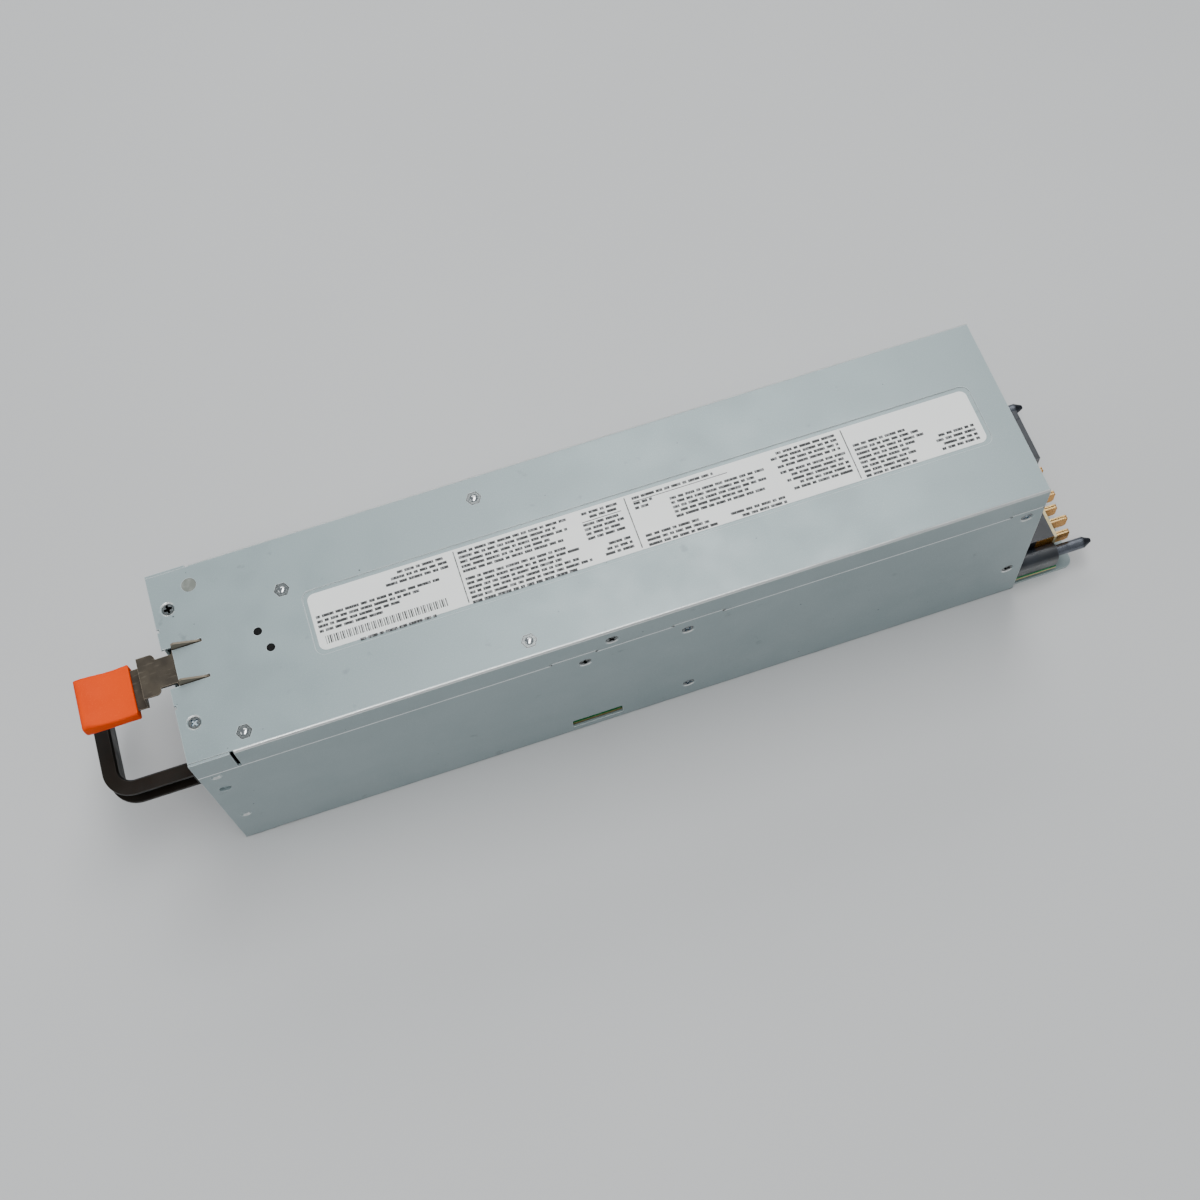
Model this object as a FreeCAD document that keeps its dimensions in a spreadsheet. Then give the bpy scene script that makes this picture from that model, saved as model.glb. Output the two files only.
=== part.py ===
import FreeCAD, Part
import math
import os
import Sketcher

# Hot swap server power supply, in millimetres.
# The origin is the centre of the case's underside. +X points to the blind-mate connector,
# -X to the handle and the latch, and +Z to the cover that carries the rating label.

# Driving sizes
SIZES = {
    "case_length": 343.0,
    "case_width": 82.5,
    "case_height": 88.8,
    "sheet_steel": 1.0,
    "bend_radius": 1.4,
    "seam_height": 75.4,
    "seam_gap": 0.25,
    "wall_top_gap": 0.2,
    "wall_inner_bend": 0.5,
    "tab_rise": 1.2,
    "tab_one_before": 13.5,
    "tab_one_after": 5.1,
    "tab_two_before": 6.0,
    "tab_two_after": 14.8,
    "tab_rear_before": 7.6,
    "nose_length": 15.8,
    "relief_width": 1.5,
    "corner_gap": 0.15,
    "shelf_reach": 29.3,
    "shelf_inset": 1.65,
    "shelf_corner": 4.0,
    "foot_notch_start": 12.9,
    "foot_notch_length": 13.7,
    "foot_notch_rise": 1.5,
    "cutter_overrun": 0.5,
    "button_inset": 6.2,
    "button_low": 26.2,
    "button_high": 71.8,
    "button_radius": 2.2,
    "button_floor_radius": 1.3,
    "button_depth": 0.7,
    "earth_hole_high": 58.4,
    "earth_hole_radius": 2.4,
    "window_front": -28.1,
    "window_length": 21.9,
    "window_low": 4.9,
    "window_high": 11.5,
    "window_corner": 0.6,
    "screw_radius": 1.5,
    "screw_head_radius": 2.95,
    "screw_head_depth": 0.9,
    "screw_length": 5.0,
    "screw_clearance": 0.05,
    "cover_screw_inset": 6.0,
    "cover_screw_spread": 49.2,
    "sink_screw_front": -18.8,
    "sink_screw_spacing": 42.0,
    "sink_screw_low": 12.8,
    "sink_screw_high": 68.0,
    "flange_screw_offset": 11.5,
    "flange_screw_drop": 7.6,
    "rear_screw_inset": 6.6,
    "rear_screw_low": 24.6,
    "rear_screw_high": 70.8,
    "recess_front": -115.2,
    "recess_length": 275.2,
    "recess_width": 28.0,
    "recess_corner": 3.6,
    "recess_depth": 0.5,
    "label_margin": 1.7,
    "label_thickness": 0.15,
    "tongue_half": 7.0,
    "tongue_setback": 3.9,
    "slot_width": 1.4,
    "edge_notch_width": 1.6,
    "edge_notch_depth": 1.0,
    "edge_notch_offset": 16.6,
    "insert_one_x": -148.5,
    "insert_one_y": -34.3,
    "insert_two_x": -121.7,
    "insert_two_y": 17.9,
    "insert_three_x": -37.6,
    "insert_three_y": -34.4,
    "insert_four_x": -40.4,
    "insert_four_y": 31.2,
    "insert_flats": 5.4,
    "insert_gap": 0.02,
    "insert_barrel_radius": 2.1,
    "insert_barrel_length": 2.4,
    "insert_bore_radius": 1.25,
    "insert_floor": 0.6,
    "plug_rivet_setback": 15.9,
    "plug_rivet_offset": 32.1,
    "plug_rivet_radius": 2.9,
    "plug_rivet_foot": 0.8,
    "panel_inset": 0.5,
    "panel_depth": 12.5,
    "latch_notch_half": 10.0,
    "latch_notch_drop": 7.6,
    "grille_flats": 7.7,
    "grille_pitch": 9.0,
    "grille_low": 50.5,
    "inlet_high": 17.6,
    "inlet_cutout_width": 27.4,
    "inlet_cutout_height": 20.0,
    "inlet_flange_width": 31.0,
    "inlet_flange_height": 24.4,
    "inlet_flange_thickness": 2.0,
    "inlet_flange_corner": 2.0,
    "inlet_depth": 22.0,
    "inlet_cavity_width": 24.2,
    "inlet_cavity_height": 16.6,
    "inlet_cavity_depth": 17.5,
    "inlet_corner_cut": 5.0,
    "inlet_pin_spacing": 7.0,
    "inlet_pin_offset": 2.0,
    "inlet_pin_width": 2.0,
    "inlet_pin_height": 4.0,
    "inlet_pin_tail": 5.0,
    "lamp_radius": 1.6,
    "lamp_spacing": 7.0,
    "lamp_offset": 29.0,
    "lamp_length": 9.0,
    "lamp_collar_radius": 2.3,
    "lamp_collar_length": 1.2,
    "handle_high": 39.0,
    "handle_height": 10.6,
    "handle_bar": 6.5,
    "handle_span": 51.8,
    "handle_reach": 42.0,
    "handle_corner": 12.0,
    "handle_lip": 1.2,
    "handle_web": 2.2,
    "handle_foot": 8.0,
    "handle_edge": 0.9,
    "handle_screw_radius": 2.0,
    "handle_screw_head_radius": 3.4,
    "handle_screw_head_height": 2.2,
    "handle_screw_grip": 7.0,
    "spring_steel": 0.7,
    "latch_pivot_inset": 33.0,
    "latch_gap": 0.3,
    "latch_root_length": 10.7,
    "latch_root_half": 7.5,
    "latch_rest_gap": 0.1,
    "latch_rivet_near_setback": 7.3,
    "latch_rivet_far_setback": 4.0,
    "latch_rivet_near_offset": 4.3,
    "latch_rivet_far_offset": 3.8,
    "latch_rivet_radius": 1.65,
    "latch_rivet_head_radius": 2.8,
    "latch_rivet_recess": 0.35,
    "latch_neck_half": 6.1,
    "latch_neck_front": 4.0,
    "latch_head_half": 8.6,
    "latch_fold_reach": 10.4,
    "latch_shoulder_length": 5.6,
    "latch_flap_drop": 7.8,
    "latch_flap_lean": 0.9,
    "latch_tab_length": 21.0,
    "hook_thickness": 0.8,
    "hook_height": 3.9,
    "hook_front_inset": 5.1,
    "hook_rear_gap": 0.5,
    "grip_gap": 3.6,
    "grip_length": 21.8,
    "grip_width": 21.6,
    "grip_above": 2.3,
    "grip_below": 4.0,
    "grip_nose_below": 5.0,
    "grip_lip": 1.3,
    "grip_saddle_radius": 34.0,
    "grip_lip_radius": 2.4,
    "grip_nose_radius": 2.6,
    "grip_edge": 2.2,
    "board_gap": 3.4,
    "board_thickness": 1.6,
    "board_side_gap": 0.55,
    "board_front_inset": 20.0,
    "board_rear_reach": 20.2,
    "standoff_flats": 5.0,
    "standoff_floor": 0.6,
    "board_screw_head_radius": 2.7,
    "board_screw_head_height": 1.6,
    "board_screw_spread": 68.0,
    "board_screw_first": 37.0,
    "board_screw_pitch": 96.0,
    "insulator_thickness": 0.4,
    "insulator_edge": 1.0,
    "housing_depth": 31.5,
    "housing_half": 31.4,
    "housing_top": 19.2,
    "signal_start": 5.8,
    "signal_reach": 10.6,
    "signal_drop": 0.7,
    "signal_hole": 1.2,
    "signal_pitch": 3.2,
    "signal_hole_depth": 6.0,
    "signal_margin": 3.4,
    "signal_lift": 3.2,
    "boss_width": 8.0,
    "boss_length": 19.5,
    "guide_high": 12.0,
    "guide_pin_radius": 2.5,
    "guide_pin_reach": 16.2,
    "guide_pin_cone": 3.4,
    "guide_pin_tip_radius": 0.9,
    "guide_pin_seat": 9.0,
    "guide_pin_seat_radius": 2.2,
    "guide_pin_seat_clearance": 0.02,
    "blade_pitch": 6.25,
    "blade_first": 30.6,
    "blade_long": 9.4,
    "blade_short": 7.4,
    "blade_height": 7.0,
    "blade_drop": 0.4,
    "blade_leaf": 0.7,
    "blade_slit": 0.4,
    "blade_seat": 8.0,
    "blade_clearance": 0.1,
    "plate_thickness": 1.3,
    "plate_edge": 0.3,
    "bulkhead_inset": 1.2,
    "bulkhead_flange": 9.2,
    "bulkhead_low": 20.0,
    "vent_width": 3.4,
    "vent_height": 22.0,
    "vent_pitch": 7.0,
    "vent_row_pitch": 26.0,
    "vent_lift": 8.0,
    "fan_setback": 29.5,
    "fan_square": 60.0,
    "fan_depth": 38.0,
    "fan_corner": 3.0,
    "fan_high": 50.0,
    "fan_duct_radius": 28.6,
    "fan_hole_spread": 50.0,
    "fan_screw_radius": 2.1,
    "fan_screw_grip": 9.0,
    "fan_screw_head_height": 2.0,
    "fan_base_radius": 12.5,
    "fan_base_thickness": 3.0,
    "fan_strut_width": 3.2,
    "fan_tube_radius": 3.8,
    "fan_tube_length": 18.0,
    "fan_shaft_radius": 1.5,
    "fan_shaft_clearance": 0.05,
    "fan_hub_radius": 12.5,
    "fan_hub_length": 29.0,
    "fan_hub_wall": 1.6,
    "fan_hub_gap": 1.0,
    "fan_tip_gap": 0.6,
    "fan_blade_depth": 22.0,
    "fan_blade_thickness": 1.4,
    "fan_blade_angle": 40.0,
    "fan_blade_root": 8.0,
    "fan_blade_setback": 3.0,
    "bracket_depth": 10.0,
    "bracket_gap": 0.1,
    "sink_margin": 22.0,
    "sink_base": 4.0,
    "sink_low": 9.6,
    "sink_top_gap": 3.0,
    "sink_fin_length": 8.0,
    "sink_fin_thickness": 1.2,
    "sink_fin_pitch": 5.6,
    "sink_fin_low": 44.0,
    "device_width": 16.0,
    "device_height": 21.0,
    "device_thickness": 5.0,
    "device_pitch": 19.5,
    "device_lift": 2.4,
    "choke_ring_radius": 10.0,
    "choke_wire_radius": 5.0,
    "boost_ring_radius": 14.0,
    "boost_wire_radius": 7.0,
    "line_capacitor_width": 26.0,
    "line_capacitor_depth": 12.0,
    "line_capacitor_height": 20.0,
    "fuse_radius": 3.0,
    "fuse_length": 20.0,
    "relay_length": 16.0,
    "relay_width": 20.0,
    "relay_height": 18.0,
    "bridge_width": 25.0,
    "bridge_thickness": 4.0,
    "bridge_height": 20.0,
    "bulk_radius": 12.5,
    "bulk_height": 45.0,
    "core_length": 20.0,
    "core_width": 42.0,
    "core_height": 38.0,
    "core_leg": 14.0,
    "core_yoke": 5.0,
    "winding_build": 9.4,
    "winding_gap": 0.2,
    "output_ring_radius": 11.0,
    "output_wire_radius": 5.5,
    "output_cap_radius": 5.0,
    "output_cap_height": 20.0,
    "output_cap_gap": 1.0,
    "bar_thickness": 2.0,
    "bar_height": 9.0,
    "bar_length": 46.0,
    "bar_spacing": 12.0,
    "standby_length": 18.0,
    "standby_width": 13.0,
    "standby_height": 17.0,
    "card_length": 66.0,
    "card_height": 40.0,
}

FAN_BLADES = 7
FAN_STRUTS = 3
SINK_FINS = 7
POWER_BLADES = 6
SIGNAL_COLUMNS = 7
SIGNAL_ROWS = 3
BOARD_SCREW_PAIRS = 4
VENT_COLUMNS = 10
VENT_ROWS = 2

# Repeated round pieces are many-sided prisms, so that they have few faces.
ROUND_SIDES = 20
CAN_SIDES = 24
DUCT_SIDES = 48
BORE_SIDES = 12

doc = FreeCAD.newDocument("server_power_supply")
sheet = doc.addObject("Spreadsheet::Sheet", "sizes")
subparts = []


class Size:
    """A number together with the spreadsheet formula that it comes from."""

    def __init__(self, value, formula):
        self.value = float(value)
        self.formula = formula

    def __add__(self, other):
        other = as_size(other)
        return Size(self.value + other.value, f"({self.formula} + {other.formula})")

    def __sub__(self, other):
        other = as_size(other)
        return Size(self.value - other.value, f"({self.formula} - {other.formula})")

    def __mul__(self, other):
        other = as_size(other)
        return Size(self.value * other.value, f"({self.formula} * {other.formula})")

    def __truediv__(self, other):
        other = as_size(other)
        return Size(self.value / other.value, f"({self.formula} / {other.formula})")

    def __rsub__(self, other):
        return as_size(other) - self

    def __neg__(self):
        return Size(-self.value, f"(-1 * {self.formula})")

    def __float__(self):
        return self.value

    __radd__ = __add__
    __rmul__ = __mul__


def as_size(number):
    if isinstance(number, Size):
        return number
    return Size(number, f"({float(number)})")


def fill_sheet():
    """Writes every driving size into the spreadsheet under its alias."""
    for row, (alias, number) in enumerate(SIZES.items(), start=1):
        sheet.set(f"A{row}", alias)
        sheet.set(f"B{row}", str(number))
        sheet.setAlias(f"B{row}", alias)
    doc.recompute()


def size(alias):
    return Size(sheet.get(alias), f"sizes.{alias}")


def bind(target, path, number):
    target.setExpression(path, as_size(number).formula)


def vector(x, y, z=0.0):
    return FreeCAD.Vector(float(x), float(y), float(z))


# Building blocks: primitives and booleans

AXIS_TURN = {
    "x": FreeCAD.Rotation(FreeCAD.Vector(0, 1, 0), 90),
    "y": FreeCAD.Rotation(FreeCAD.Vector(1, 0, 0), -90),
    "z": FreeCAD.Rotation(),
}


def place(target, at, axis="z"):
    target.Placement = FreeCAD.Placement(vector(*at), AXIS_TURN[axis])
    for letter, number in zip("xyz", at):
        bind(target, f".Placement.Base.{letter}", number)


def block(name, x, y, z):
    """A box between a low and a high value along each axis."""
    box = doc.addObject("Part::Box", name)
    bind(box, "Length", x[1] - x[0])
    bind(box, "Width", y[1] - y[0])
    bind(box, "Height", z[1] - z[0])
    place(box, (x[0], y[0], z[0]))
    return box


def rod(name, radius, length, at, axis="z"):
    """A cylinder that starts at a point and runs along an axis."""
    cylinder = doc.addObject("Part::Cylinder", name)
    bind(cylinder, "Radius", radius)
    bind(cylinder, "Height", length)
    place(cylinder, at, axis)
    return cylinder


def cone(name, radius_start, radius_end, length, at, axis="z"):
    frustum = doc.addObject("Part::Cone", name)
    bind(frustum, "Radius1", radius_start)
    bind(frustum, "Radius2", radius_end)
    bind(frustum, "Height", length)
    place(frustum, at, axis)
    return frustum


def spoke(name, x, width, reach, axis_height, angle):
    """A bar that runs outward from an axis along X, turned about that axis."""
    turn = math.radians(angle)
    half = width / 2
    bar = doc.addObject("Part::Box", name)
    bind(bar, "Length", x[1] - x[0])
    bind(bar, "Width", width)
    bind(bar, "Height", reach[1] - reach[0])
    base = (
        x[0],
        half * -math.cos(turn) - reach[0] * math.sin(turn),
        axis_height - half * math.sin(turn) + reach[0] * math.cos(turn),
    )
    bar.Placement = FreeCAD.Placement(vector(*base), FreeCAD.Rotation(FreeCAD.Vector(1, 0, 0), angle))
    for letter, number in zip("xyz", base):
        bind(bar, f".Placement.Base.{letter}", number)
    return bar


def prism(name, sides, flats, length, at, axis="z"):
    """A prism along an axis, given by its width across flats."""
    solid = doc.addObject("Part::Prism", name)
    solid.Polygon = sides
    bind(solid, "Circumradius", flats * (0.5 / math.cos(math.pi / sides)))
    bind(solid, "Height", length)
    place(solid, at, axis)
    return solid


def frustum(name, radius_start, radius_end, length, at, axis="z"):
    """A many-sided cone with flat sides that starts at a point and runs along an axis."""
    rings = []
    for radius, level in ((radius_start, 0.0), (radius_end, float(length))):
        turns = [math.tau * step / ROUND_SIDES for step in range(ROUND_SIDES)]
        rings.append([vector(radius * math.cos(turn), radius * math.sin(turn), level) for turn in turns])
    low, high = rings
    outlines = [low, high]
    for step in range(ROUND_SIDES):
        outlines.append([low[step - 1], low[step], high[step], high[step - 1]])
    faces = [Part.Face(Part.makePolygon(outline + outline[:1])) for outline in outlines]
    feature = doc.addObject("Part::Feature", name)
    feature.Shape = Part.makeSolid(Part.makeShell(faces))
    place(feature, at, axis)
    return feature


def screw_seat(name, at, axis, outward):
    """A conical cutter through the sheet, for a screw whose head is flush at a point."""
    wide = size("screw_head_radius") + size("screw_clearance")
    slope = (wide - screw_hole) / steel
    over = size("cutter_overrun")
    outer = wide + slope * over
    inner = screw_hole - slope * over
    length = steel + over * 2
    index = "xyz".index(axis)
    start = list(at)
    if outward > 0:
        start[index] = start[index] - steel - over
        return frustum(name, inner, outer, length, start, axis)
    start[index] = start[index] - over
    return frustum(name, outer, inner, length, start, axis)


def coil(name, ring_radius, wire_radius, at, axis="z"):
    """A wound ring, from a many-sided outer face to a many-sided bore."""
    outer = prism(name + "_outer", CAN_SIDES, (ring_radius + wire_radius) * 2, wire_radius * 2, at, axis)
    start = list(at)
    index = "xyz".index(axis)
    start[index] = start[index] - size("cutter_overrun")
    length = wire_radius * 2 + size("cutter_overrun") * 2
    bore = prism(name + "_bore", CAN_SIDES, (ring_radius - wire_radius) * 2, length, start, axis)
    return cut(name, outer, [bore])


def fuse(name, shapes):
    if len(shapes) == 1:
        return shapes[0]
    joined = doc.addObject("Part::MultiFuse", name)
    joined.Shapes = shapes
    return joined


def common(name, shapes):
    shared = doc.addObject("Part::MultiCommon", name)
    shared.Shapes = shapes
    return shared


def cut(name, base, tools):
    result = doc.addObject("Part::Cut", name)
    result.Base = base
    result.Tool = fuse(name + "_cutters", tools)
    return result


def group(name, shapes):
    """Separate solids that share one node."""
    compound = doc.addObject("Part::Compound", name)
    compound.Links = shapes
    return compound


def repeat(name, master, placements):
    """Copies of one piece in several places, as separate solids of one node."""
    doc.recompute()
    copies = []
    for placement in placements:
        copied = master.Shape.copy()
        copied.Placement = placement.multiply(copied.Placement)
        copies.append(copied)
    feature = doc.addObject("Part::Feature", name)
    feature.Shape = Part.makeCompound(copies)
    feature.Placement = FreeCAD.Placement()
    return feature


def at_point(x, y, z, rotation=None):
    return FreeCAD.Placement(vector(x, y, z), rotation or FreeCAD.Rotation())


# Building blocks: bodies, sketches and their features

def new_body(name):
    body = doc.addObject("PartDesign::Body", name)
    body.Label = name
    return body


def new_sketch(body, role, offset=0.0):
    """A sketch on one of the body's origin planes, moved along the plane's normal."""
    sketch = body.newObject("Sketcher::SketchObject", body.Name + "_sketch")
    plane = next(item for item in body.Origin.OriginFeatures if item.Role == role)
    sketch.AttachmentSupport = [(plane, "")]
    sketch.MapMode = "FlatFace"
    bind(sketch, ".AttachmentOffset.Base.z", offset)
    return sketch


def constrain(sketch, kind, *values):
    """Adds a constraint whose last value is a size, and binds that value."""
    number = as_size(values[-1])
    index = sketch.addConstraint(Sketcher.Constraint(kind, *values[:-1], number.value))
    sketch.setExpression(f"Constraints[{index}]", number.formula)


def draw_polygon(sketch, points, arcs=None):
    """A closed outline through points. An entry in arcs bends that side to a signed radius."""
    arcs = arcs or {}
    first = sketch.GeometryCount
    count = len(points)
    for index, point in enumerate(points):
        following = points[(index + 1) % count]
        start = vector(*point)
        end = vector(*following)
        if index in arcs:
            sketch.addGeometry(arc_between(start, end, float(arcs[index])), False)
        else:
            sketch.addGeometry(Part.LineSegment(start, end), False)
    for index in range(count):
        following = (index + 1) % count
        end_point = 1 if arcs.get(index) is not None and float(arcs[index]) < 0 else 2
        start_point = 2 if arcs.get(following) is not None and float(arcs[following]) < 0 else 1
        sketch.addConstraint(
            Sketcher.Constraint("Coincident", first + index, end_point, first + following, start_point)
        )
    for index, (u, v) in enumerate(points):
        start_point = 2 if arcs.get(index) is not None and float(arcs[index]) < 0 else 1
        constrain(sketch, "DistanceX", -1, 1, first + index, start_point, u)
        constrain(sketch, "DistanceY", -1, 1, first + index, start_point, v)
    for index, radius in arcs.items():
        magnitude = radius if float(radius) > 0 else -as_size(radius)
        constrain(sketch, "Radius", first + index, magnitude)


def arc_between(start, end, radius):
    """An arc of less than half a turn. A positive radius turns left, a negative one right."""
    chord = end - start
    middle = (start + end) * 0.5
    side = FreeCAD.Vector(-chord.y, chord.x, 0).normalize()
    rise = math.sqrt(max(radius * radius - (chord.Length * 0.5) ** 2, 0.0))
    centre = middle + side * (rise if radius > 0 else -rise)
    circle = Part.Circle(centre, FreeCAD.Vector(0, 0, 1), abs(radius))
    first = math.atan2(start.y - centre.y, start.x - centre.x)
    last = math.atan2(end.y - centre.y, end.x - centre.x)
    if radius < 0:
        first, last = last, first
    if last < first:
        last += 2 * math.pi
    return Part.ArcOfCircle(circle, first, last)


def draw_rectangle(sketch, u, v):
    draw_polygon(sketch, [(u[0], v[0]), (u[1], v[0]), (u[1], v[1]), (u[0], v[1])])


def draw_circle(sketch, u, v, radius):
    index = sketch.addGeometry(
        Part.Circle(vector(u, v), FreeCAD.Vector(0, 0, 1), float(radius)), False
    )
    constrain(sketch, "DistanceX", -1, 1, index, 3, u)
    constrain(sketch, "DistanceY", -1, 1, index, 3, v)
    constrain(sketch, "Radius", index, radius)


def draw_rounded(sketch, u, v, radius):
    """A rectangle with equal round corners."""
    first = sketch.GeometryCount
    low_u, high_u, low_v, high_v, r = (float(n) for n in (u[0], u[1], v[0], v[1], radius))
    corners = [
        (high_u - r, low_v + r, -90),
        (high_u - r, high_v - r, 0),
        (low_u + r, high_v - r, 90),
        (low_u + r, low_v + r, 180),
    ]
    ends = [
        ((low_u + r, low_v), (high_u - r, low_v)),
        ((high_u, low_v + r), (high_u, high_v - r)),
        ((high_u - r, high_v), (low_u + r, high_v)),
        ((low_u, high_v - r), (low_u, low_v + r)),
    ]
    for start, end in ends:
        sketch.addGeometry(Part.LineSegment(vector(*start), vector(*end)), False)
    for centre_u, centre_v, angle in corners:
        circle = Part.Circle(vector(centre_u, centre_v), FreeCAD.Vector(0, 0, 1), r)
        arc = Part.ArcOfCircle(circle, math.radians(angle), math.radians(angle + 90))
        sketch.addGeometry(arc, False)
    for side in range(4):
        line = first + side
        arc = first + 4 + side
        following = first + (side + 1) % 4
        sketch.addConstraint(Sketcher.Constraint("Tangent", line, 2, arc, 1))
        sketch.addConstraint(Sketcher.Constraint("Tangent", arc, 2, following, 1))
        sketch.addConstraint(Sketcher.Constraint("Horizontal" if side % 2 == 0 else "Vertical", line))
        if side:
            sketch.addConstraint(Sketcher.Constraint("Equal", first + 4, arc))
    constrain(sketch, "Radius", first + 4, radius)
    constrain(sketch, "DistanceY", -1, 1, first, 1, v[0])
    constrain(sketch, "DistanceX", -1, 1, first + 1, 1, u[1])
    constrain(sketch, "DistanceY", -1, 1, first + 2, 1, v[1])
    constrain(sketch, "DistanceX", -1, 1, first + 3, 1, u[0])


def pad(body, sketch, length, midplane=False, reverse=False):
    feature = body.newObject("PartDesign::Pad", body.Name + "_pad")
    feature.Profile = sketch
    bind(feature, "Length", length)
    feature.Midplane = midplane
    feature.Reversed = reverse
    sketch.Visibility = False
    return feature


def pocket(body, sketch, length, midplane=False, reverse=False):
    """Cuts against the sketch's normal, and stops if nothing was removed."""
    doc.recompute()
    volume_before = body.Shape.Volume
    feature = body.newObject("PartDesign::Pocket", body.Name + "_pocket")
    feature.Profile = sketch
    bind(feature, "Length", length)
    feature.Midplane = midplane
    feature.Reversed = reverse
    sketch.Visibility = False
    doc.recompute()
    if feature.Shape.Volume > volume_before - 1e-6:
        raise RuntimeError(f"{feature.Name} of {body.Label} cuts nothing")
    return feature


def edges_along(shape, axis, places, reach=0.02):
    """Names of the straight edges along an axis that cross it at the given places."""
    index = "xyz".index(axis)
    others = [i for i in range(3) if i != index]
    found = []
    for number, edge in enumerate(shape.Edges, start=1):
        if edge.Curve.TypeId != "Part::GeomLine":
            continue
        if abs(abs(edge.tangentAt(edge.FirstParameter)[index]) - 1) > 1e-6:
            continue
        middle = edge.CenterOfMass
        for spot in places:
            gaps = [abs(middle[others[k]] - float(spot[k])) for k in range(2) if spot[k] is not None]
            if max(gaps) < reach:
                found.append(f"Edge{number}")
                break
    return found


def fillet(body, radius, edges):
    doc.recompute()
    base = body.Tip
    feature = body.newObject("PartDesign::Fillet", body.Name + "_fillet")
    feature.Base = (base, edges)
    bind(feature, "Radius", radius)
    doc.recompute()
    return feature


def chamfer(body, width, edges):
    doc.recompute()
    base = body.Tip
    feature = body.newObject("PartDesign::Chamfer", body.Name + "_chamfer")
    feature.Base = (base, edges)
    bind(feature, "Size", width)
    doc.recompute()
    return feature


def pattern(body, original, steps):
    """Repeats a feature along one or two of its sketch's axes: (axis, span, count)."""
    sketch = original.Profile[0]
    multiple = body.newObject("PartDesign::MultiTransform", body.Name + "_pattern")
    multiple.Originals = [original]
    rows = []
    for axis, span, count in steps:
        row = body.newObject("PartDesign::LinearPattern", body.Name + "_row")
        row.Direction = (sketch, [axis])
        bind(row, "Length", span)
        row.Occurrences = count
        rows.append(row)
    multiple.Transformations = rows
    body.Tip = multiple
    doc.recompute()
    return multiple


def mirror(body, originals, role):
    """Mirrors features across one of the body's origin planes."""
    plane = next(item for item in body.Origin.OriginFeatures if item.Role == role)
    feature = body.newObject("PartDesign::Mirrored", body.Name + "_mirror")
    feature.Originals = originals
    feature.MirrorPlane = (plane, [""])
    body.Tip = feature
    doc.recompute()
    return feature


def keep(name, feature):
    """Gives a finished sub-part its name and lists it for export."""
    feature.Label = name
    subparts.append(feature)
    return feature


fill_sheet()

# Levels and stations that several pieces share

steel = size("sheet_steel")
half_length = size("case_length") / 2
half_width = size("case_width") / 2
case_top = size("case_height")
front = -half_length
rear = half_length
inside_half = half_width - steel
cover_under = case_top - steel
nose_end = front + size("nose_length")
flange_start = nose_end + size("relief_width")
board_low = steel + size("board_gap")
board_top = board_low + size("board_thickness")
panel_front = front + size("panel_inset")
panel_back = panel_front + steel
screw_hole = size("screw_radius") + size("screw_clearance")
cover_screw_x = front + size("cover_screw_inset")
cover_screw_y = size("cover_screw_spread") / 2
rear_screw_x = rear - size("rear_screw_inset")
sink_screw_x = [size("sink_screw_front"), size("sink_screw_front") + size("sink_screw_spacing")]
flange_screw_x = size("sink_screw_front") + size("flange_screw_offset")
flange_screw_z = case_top - size("flange_screw_drop")
tray_screws = [
    (sink_screw_x[0], size("sink_screw_high")),
    (sink_screw_x[1], size("sink_screw_high")),
    (sink_screw_x[1], size("sink_screw_low")),
    (rear_screw_x, size("rear_screw_low")),
    (rear_screw_x, size("rear_screw_high")),
]
tab_ranges = [
    (sink_screw_x[0] - size("tab_one_before"), sink_screw_x[0] + size("tab_one_after")),
    (sink_screw_x[1] - size("tab_two_before"), sink_screw_x[1] + size("tab_two_after")),
    (rear_screw_x - size("tab_rear_before"), rear),
]
over = size("cutter_overrun")
slot_inner = size("tongue_half")
slot_outer = size("tongue_half") + size("slot_width")
rest_front = front + size("latch_pivot_inset")
handle_leg_y = size("handle_span") / 2 - size("handle_bar") / 2
lamp_heights = [size("inlet_high") + size("lamp_spacing") * step for step in (-1, 0, 1)]
board_front = front + size("board_front_inset")
board_rear = rear + size("board_rear_reach")
guide_y = size("housing_half") + size("boss_width") / 2
blade_high = size("housing_top") - size("blade_drop")
blade_low = blade_high - size("blade_height")
fan_front = front + size("fan_setback")
signal_origin = (
    size("signal_start") + size("signal_margin"),
    board_top + size("signal_lift"),
)


def seam_outline(level, overhang):
    """The stepped seam between tray and cover, closed above and beyond the case."""
    rise = size("tab_rise")
    points = [(nose_end, level)]
    for start, end in tab_ranges:
        if float(end) < float(rear):
            points += [(start, level), (start, level + rise), (end, level + rise), (end, level)]
        else:
            points += [(start, level), (start, level + rise), (end + overhang, level + rise)]
    points += [(rear + overhang, case_top + overhang), (nose_end, case_top + overhang)]
    return points


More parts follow.
